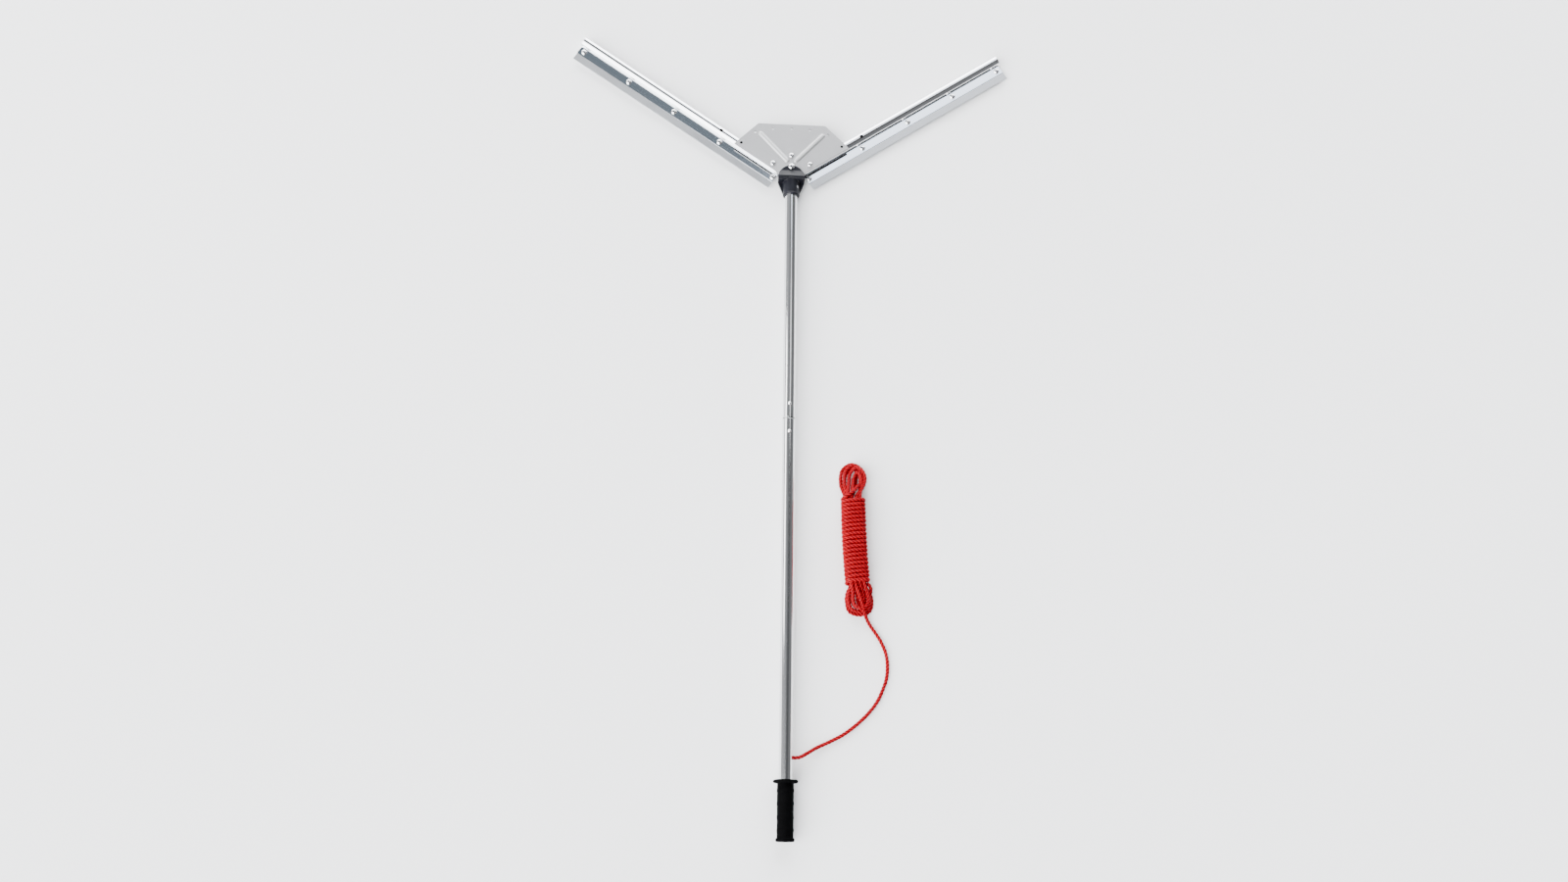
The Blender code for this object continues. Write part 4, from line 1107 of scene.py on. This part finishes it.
def makeYoke():
    y = yoke
    length = y["face"] - y["lip"]
    body = drum(y["socket"], length, (0, headY + y["face"] - length / 2, poleZ), lieAlongY, steps=96)
    ring = drum(y["socket"] + y["lipRing"], 3.0 * mm, (0, headY + y["lip"] + 1.5 * mm, poleZ), lieAlongY,
                steps=96)
    web = [(y["flange"] - 0.5 * mm, y["centre"] - 2 * mm), (y["flange"] - 0.5 * mm, y["brow"] - 2 * mm),
           (y["webEnd"], y["lip"])]
    webs = prism(web + [(-x, v) for x, v in reversed(web)], y["webLow"], y["webTop"])
    square = [(y["flange"], y["centre"]), (y["flange"], y["brow"])]
    blockPart = prism(square + [(-x, v) for x, v in reversed(square)], y["webLow"] - 0.5 * mm, y["flangeTop"])
    domeLine = arcPoints((0, y["centre"]), y["flange"], 0, pi, 64)
    domeLine += [(-y["flange"], y["brow"]), (y["flange"], y["brow"])]
    dome = prism(domeLine, y["flangeLow"], y["browTop"])
    # the dome rises from a flat seat to the brow, in a slow curve
    seat, centre = y["seat"], y["centre"]
    rise = y["browTop"] - y["flangeTop"]
    slope = [(seat + (centre - 2 * mm - seat) * t,
              y["flangeTop"] + rise * (0.5 - 0.5 * cos(pi * t)) ** 0.85)
             for t in [i / 16 for i in range(17)]]
    over = sidePrism([(40 * mm, y["flangeTop"])] + slope + [(centre - 2 * mm, 60 * mm), (40 * mm, 60 * mm)],
                     40 * mm)
    obj = addObject("yokeForm", carve(dome, [over]))
    helpers = []
    for mesh in (blockPart, webs, body, ring):
        helper = addObject("yokePart", mesh)
        helpers.append(helper)
        join = obj.modifiers.new("join", "BOOLEAN")
        join.operation = "UNION"
        join.object = helper
    # a ledge line across the brow
    ledge = block((60 * mm, 1.3 * mm, 3.0 * mm), (0, headY + y["brow"] + 4.6 * mm, y["browTop"]))
    groove = addObject("ledge", ledge)
    helpers.append(groove)
    cut = obj.modifiers.new("ledge", "BOOLEAN")
    cut.object = groove
    remesh = obj.modifiers.new("skin", "REMESH")
    remesh.mode = "VOXEL"
    remesh.voxel_size = y["voxel"]
    soften = obj.modifiers.new("soften", "SMOOTH")
    soften.factor = 0.5
    soften.iterations = 5
    mesh = bakeObject(obj)
    for helper in helpers:
        bpy.data.objects.remove(helper)
    bore = drum(y["bore"], 70 * mm, (0, headY - 32 * mm - 35 * mm, poleZ), lieAlongY, steps=96)
    hole = drum(screwClear, 30 * mm, (0, headY, y["flangeTop"]), steps=48)
    seatCut = drum(7.3 * mm, 4 * mm, (0, headY, y["flangeTop"] + 2.0 * mm - 0.15 * mm), steps=64)
    mesh = carve(mesh, [bore, hole, seatCut])
    shadeOutward(mesh, 42)
    finishPiece("yokeMoulding", mesh, [blackMoulded], mainBody, "black_plastic", "yoke")


rivetTurn = Matrix.Rotation(radians(52), 4, "Y")


def blackRivet():
    # dark finish, a little brighter in patches
    return mottledFinish("blackRivet", (0.05, 0.05, 0.055), 0.9, 0.3, (500.0, 3.0, 0.6),
                         [(0.4, (0.12, 0.12, 0.125)), (0.75, (0.40, 0.40, 0.42))])


def makeRivet():
    shank, head = 2.0 * mm, 3.5 * mm
    seat = yoke["socket"] - 0.6 * mm
    profile = [(0, seat + 1.6 * mm)]
    profile += [(head * sin(a), seat + 1.6 * mm * cos(a) ** 0.8) for a in (0.3, 0.6, 0.9, 1.15, 1.35, 1.5)]
    profile += [(head, seat), (shank, seat), (shank, 10 * mm), (0, 10 * mm)]
    mesh = lathe(profile, 48)
    y = centreOf("pole_rivet").y
    mesh.transform(Matrix.Translation((0, y, poleZ)) @ rivetTurn)
    shadeOutward(mesh)
    finishPiece("poleRivet", mesh, [blackRivet()], mainBody, "black_plastic", "pole_rivet")


def makeBracket():
    half = yoke["bracketHalf"]
    top = 36.4 * mm - half
    outline = arcPoints((0, top), half, 0, pi, 48) + [(-half, plate["foot"]), (half, plate["foot"])]
    low, high = lowOf("yoke_rear_bracket").z, highOf("yoke_rear_bracket").z
    mesh = filledOutline([outline] + [ringPoints((0, v), screwClear) for v in (0, backScrew)], high - low)
    mesh.transform(Matrix.Translation((0, headY, low)))
    mesh = bevelRims(mesh, 0.5 * mm, segments=3)
    shadeOutward(mesh)
    finishPiece("rearBracket", mesh, [blackMoulded], mainBody, "black_plastic", "yoke_rear_bracket")


makeYoke()
makeRivet()
makeBracket()
print("yoke done")


# screws and nuts, scattered on their spots by one small node tree

screw = {
    "threadPitch": 1.0 * mm,
    "threadDepth": 0.35 * mm,
    "nutCorners": 11.0 * mm,
    "nutThick": 4.0 * mm,
}


def screwMesh(head, rise, shank, length):
    r, s = head / 2, shank / 2
    profile = [(0, rise), (r * 0.30, rise * 0.985), (r * 0.55, rise * 0.93), (r * 0.74, rise * 0.82),
               (r * 0.87, rise * 0.64), (r * 0.955, rise * 0.42), (r * 0.99, rise * 0.24),
               (r, rise * 0.12), (r * 0.985, 0), (s + 0.2 * mm, 0), (s, -0.3 * mm)]
    z = -1.5 * mm
    while z > -length + 0.8 * mm:
        profile += [(s, z), (s, z - 0.2 * mm), (s - screw["threadDepth"], z - 0.5 * mm),
                    (s - screw["threadDepth"], z - 0.65 * mm)]
        z -= screw["threadPitch"]
    profile += [(s, z), (s - 0.5 * mm, -length), (0, -length)]
    mesh = lathe(profile, 40)
    turnFacesOut(mesh)
    cross = []
    for turn in (0, pi / 2):
        arm = newMesh("recess", lambda work: bmesh.ops.create_cone(
            work, cap_ends=True, segments=4, radius1=head * 0.13, radius2=head * 0.34, depth=rise * 0.9))
        turned = Matrix.Rotation(turn, 4, "Z") @ Matrix.Diagonal((1, 0.24, 1, 1))
        arm.transform(Matrix.Translation((0, 0, rise * 0.68)) @ turned)
        cross.append(arm)
    mesh = carve(mesh, cross)
    # painted shade: faces inside the cross recess are marked to take the dark material
    recess = mesh.attributes.new("recess", "BOOLEAN", "FACE")
    recess.data.foreach_set("value", [
        face.center.z > 0.1 * mm and face.center.xy.length < r * 0.72 and (
            face.normal.z < 0.7 or face.center.z < rise * 0.75) for face in mesh.polygons])
    smoothShade(mesh, 38)
    return mesh


def nutMesh(shank):
    corner, thick = screw["nutCorners"] / 2, screw["nutThick"]
    hexagon = filledOutline([arcPoints((0, 0), corner, 0, 2 * pi, 6)[:-1]], thick)
    hexagon.transform(Matrix.Translation((0, 0, -thick)))
    turnFacesOut(hexagon)
    chamfer = 0.7 * mm
    round_ = lathe([(0, 0), (corner - chamfer * 1.4, 0), (corner, -chamfer), (corner, -thick + chamfer),
                    (corner - chamfer * 1.4, -thick), (0, -thick)], 48)
    turnFacesOut(round_)
    mesh = carve(hexagon, [round_], "INTERSECT")
    mesh = carve(mesh, [drum(shank / 2 + 0.15 * mm, thick * 3, (0, 0, -thick / 2), steps=32)])
    smoothShade(mesh, 30)
    return mesh


def scatterTree():
    tree = bpy.data.node_groups.new("screwScatter", "GeometryNodeTree")
    face = tree.interface
    face.new_socket("Geometry", in_out="INPUT", socket_type="NodeSocketGeometry")
    kinds = {"Piece": "Object", "Turn Range": "Float", "Seed": "Int", "Finish": "Material",
             "Recess Finish": "Material"}
    sockets = {}
    for name, kind in kinds.items():
        sockets[name] = face.new_socket(name, in_out="INPUT", socket_type="NodeSocket" + kind).identifier
    face.new_socket("Geometry", in_out="OUTPUT", socket_type="NodeSocketGeometry")
    nodes, links = tree.nodes, tree.links
    given, out = nodes.new("NodeGroupInput"), nodes.new("NodeGroupOutput")
    spots = nodes.new("GeometryNodeMeshToPoints")
    info = nodes.new("GeometryNodeObjectInfo")
    chance = nodes.new("FunctionNodeRandomValue")
    chance.data_type = "FLOAT"
    turn = nodes.new("ShaderNodeCombineXYZ")
    copies = nodes.new("GeometryNodeInstanceOnPoints")
    real = nodes.new("GeometryNodeRealizeInstances")
    paint = nodes.new("GeometryNodeSetMaterial")
    marked = nodes.new("GeometryNodeInputNamedAttribute")
    marked.data_type = "BOOLEAN"
    marked.inputs["Name"].default_value = "recess"
    darken = nodes.new("GeometryNodeSetMaterial")
    wires = [
        (given, "Geometry", spots, "Mesh"),
        (given, "Piece", info, "Object"),
        (given, "Turn Range", chance, "Max"),
        (given, "Seed", chance, "Seed"),
        (chance, "Value", turn, "Z"),
        (spots, "Points", copies, "Points"),
        (info, "Geometry", copies, "Instance"),
        (turn, "Vector", copies, "Rotation"),
        (copies, "Instances", real, "Geometry"),
        (real, "Geometry", paint, "Geometry"),
        (given, "Finish", paint, "Material"),
        (paint, "Geometry", darken, "Geometry"),
        (marked, "Attribute", darken, "Selection"),
        (given, "Recess Finish", darken, "Material"),
        (darken, "Geometry", out, "Geometry"),
    ]
    for giver, output, taker, socket in wires:
        # a node with several data types has one enabled socket of each name
        start = [one for one in giver.outputs if one.enabled and one.name == output][0]
        end = [one for one in taker.inputs if one.enabled and one.name == socket][0]
        links.new(start, end)
    return tree, sockets


def recessShadePaint():
    # painted shade: a dark material for the cross recess of a screw, where shade falls
    return mottledFinish("recessPaintedShade", (0.06, 0.06, 0.065), 0.6, 0.55, (700.0, 3.0, 0.6),
                         [(0.35, (0.03, 0.03, 0.033)), (0.75, (0.10, 0.10, 0.105))])


recessPaintedShade = recessShadePaint()
screwTree, screwSockets = scatterTree()


def scatter(name, pieceMesh, spots, body, nodes, seed):
    piece = addObject("piece", pieceMesh)
    points = bpy.data.meshes.new("spots")
    points.from_pydata([tuple(p) for p in spots], [], [])
    holder = addObject("holder", points)
    modifier = holder.modifiers.new("scatter", "NODES")
    modifier.node_group = screwTree
    modifier[screwSockets["Piece"]] = piece
    modifier[screwSockets["Turn Range"]] = pi / 2
    modifier[screwSockets["Seed"]] = seed
    modifier[screwSockets["Finish"]] = steelZinc
    modifier[screwSockets["Recess Finish"]] = recessPaintedShade
    mesh = bakeObject(holder, merge=0)
    bpy.data.objects.remove(piece)
    smoothShade(mesh, 38)
    painted = [mesh.materials[face.material_index] == recessPaintedShade for face in mesh.polygons]
    obj = finishPiece(name, mesh, [steelZinc] + [recessPaintedShade] * any(painted), body, "zinc_steel", *nodes)
    obj.data.polygons.foreach_set("material_index", [int(dark) for dark in painted])
    return obj


def seatOf(node, rise):
    # where the underside of a screw's head lies
    spot = centreOf(node)
    return Vector((spot.x, spot.y, highOf(node).z - rise))


def makeScrews():
    rise = 3.6 * mm
    for label in arms:
        names = [f"{label}_blade_screw_{i}" for i in range(1, 6)]
        head = highOf(names[0]).x - lowOf(names[0]).x
        length = highOf(names[0]).z - lowOf(names[0]).z - rise
        scatter(label + "BladeScrews", screwMesh(head, rise, 5.0 * mm, length),
                [seatOf(n, rise) for n in names], label + "_arm", names, 3 + arms[label])
        nuts = [f"{label}_blade_nut_{i}" for i in range(1, 6)]
        scatter(label + "BladeNuts", nutMesh(5.0 * mm),
                [Vector((*centreOf(n).xy, highOf(n).z)) for n in nuts], label + "_arm", nuts, 8 + arms[label])
    pivots = ["right_pivot_screw", "left_pivot_screw"]
    length = highOf(pivots[0]).z - lowOf(pivots[0]).z - rise
    scatter("pivotScrews", screwMesh(11.5 * mm, rise, 6.0 * mm, length), [seatOf(n, rise) for n in pivots],
            mainBody, pivots, 21)
    for node, name, head in (("yoke_screw_front", "yokeFrontScrew", 13.4 * mm),
                             ("yoke_screw_back", "yokeBackScrew", 11.5 * mm)):
        length = highOf(node).z - lowOf(node).z - rise
        scatter(name, screwMesh(head, rise, 6.0 * mm, length), [seatOf(node, rise)], mainBody, [node], 27)
    nuts = ["yoke_nut_front", "yoke_nut_back"]
    scatter("yokeNuts", nutMesh(6.0 * mm), [Vector((*centreOf(n).xy, highOf(n).z)) for n in nuts], mainBody,
            nuts, 31)


makeScrews()
# painted shade: the coupling sleeve, seen through the seam gap, takes the dark material; the bushes and
# springs take zinc
for node in ("coupling_sleeve", "right_pivot_bush", "left_pivot_bush", "upper_button_spring",
             "lower_button_spring"):
    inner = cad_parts[node]
    inner.material_slots[0].material = paintedShadeDark if node == "coupling_sleeve" else steelZinc
print("screws and nuts done")


# floor, sky and lights

lights = [
    {"name": "sideLeft", "place": (-2.9, 0.85, 1.75), "size": (1.3, 1.05), "power": 34, "aim": (0, 0, 0)},
]


def makeLights():
    for light in lights:
        data = bpy.data.lights.new(light["name"], "AREA")
        data.shape = "RECTANGLE"
        data.size, data.size_y = light["size"]
        data.energy = light["power"]
        obj = bpy.data.objects.new(light["name"], data)
        obj.location = light["place"]
        away = Vector(light["aim"]) - Vector(light["place"])
        obj.rotation_euler = away.to_track_quat("-Z", "Y").to_euler()
        bpy.context.scene.collection.objects.link(obj)


# white behind and low on the left, dim overhead, darkest to the right of the middle; tones are read along X
sky = {
    "strength": 11.0,
    "white": (0.97, 0.98, 1.0),
    "overhead": ((-1.0, 0.060), (-0.4, 0.042), (-0.12, 0.0235), (0.10, 0.015), (0.40, 0.010), (0.62, 0.020),
                 (0.85, 0.0225)),
    "horizon": (0.06, 0.061, 0.063),
    "flag": {"tone": (0.0235, 0.0275, 0.0315), "across": (-0.17, 0.067), "ahead": (0.475, 0.80),
             "soft": 0.004},
    "board": {"tone": (0.35, 0.375, 0.425), "across": (0.074, 0.32), "ahead": (0.49, 0.95), "soft": 0.004},
    "patch": {"tone": (0.20, 0.203, 0.208), "across": (0.13, 0.45), "ahead": (0.36, 0.46), "soft": 0.03},
}


def skyPanel(tree, across, ahead, panel):
    soft = panel["soft"]
    sides = [remap(tree, across, 0, 1, panel["across"][0] - soft, panel["across"][0]),
             remap(tree, across, 1, 0, panel["across"][1], panel["across"][1] + soft),
             remap(tree, ahead, 0, 1, panel["ahead"][0] - soft, panel["ahead"][0]),
             remap(tree, ahead, 1, 0, panel["ahead"][1], panel["ahead"][1] + soft)]
    mask = sides[0]
    for side in sides[1:]:
        mask = mixFactors(tree, mask, side, "MULTIPLY")
    return mask


def skyMix(tree, mask, below, tone):
    mix = tree.nodes.new("ShaderNodeMix")
    mix.data_type = "RGBA"
    tree.links.new(mask, mix.inputs[0])
    tree.links.new(below, mix.inputs[6])
    mix.inputs[7].default_value = (*tone, 1)
    return mix.outputs[2]


def makeSky():
    world = bpy.data.worlds.new("studio")
    bpy.context.scene.world = world
    world.use_nodes = True
    tree = world.node_tree
    coords = tree.nodes.new("ShaderNodeTexCoord")
    split = tree.nodes.new("ShaderNodeSeparateXYZ")
    tree.links.new(coords.outputs["Generated"], split.inputs["Vector"])
    x, y, z = (split.outputs[axis] for axis in "XYZ")
    up = mixFactors(tree, z, 0.05, "MAXIMUM")
    across, ahead = mixFactors(tree, x, up, "DIVIDE"), mixFactors(tree, y, up, "DIVIDE")
    tone = ramp(tree, remap(tree, x, 0, 1, -1, 1), [
        ((place + 1) / 2, (level, level * 1.02, level * 1.06)) for place, level in sky["overhead"]])
    tone = skyMix(tree, remap(tree, z, 1, 0, 0.05, 0.2), tone, sky["horizon"])
    left = mixFactors(tree, remap(tree, x, 1, 0, -0.2, -0.05), remap(tree, y, 1, 0, -0.05, 0.05), "MULTIPLY")
    tone = skyMix(tree, left, tone, sky["white"])
    tone = skyMix(tree, remap(tree, y, 0, 1, 0.64, 0.74), tone, sky["white"])
    for name in ("flag", "board", "patch"):
        tone = skyMix(tree, skyPanel(tree, across, ahead, sky[name]), tone, sky[name]["tone"])
    back = tree.nodes["Background"]
    tree.links.new(tone, back.inputs["Color"])
    back.inputs["Strength"].default_value = sky["strength"]


def makeFloor():
    mesh = newMesh("floor", lambda work: bmesh.ops.create_grid(work, x_segments=8, y_segments=8, size=9))
    mesh.transform(Matrix.Translation((0, 0, -0.0004)))
    floor = placeMesh("floor", mesh, [paleFloor()])


makeLights()
makeSky()
makeFloor()
print("lights and floor set")
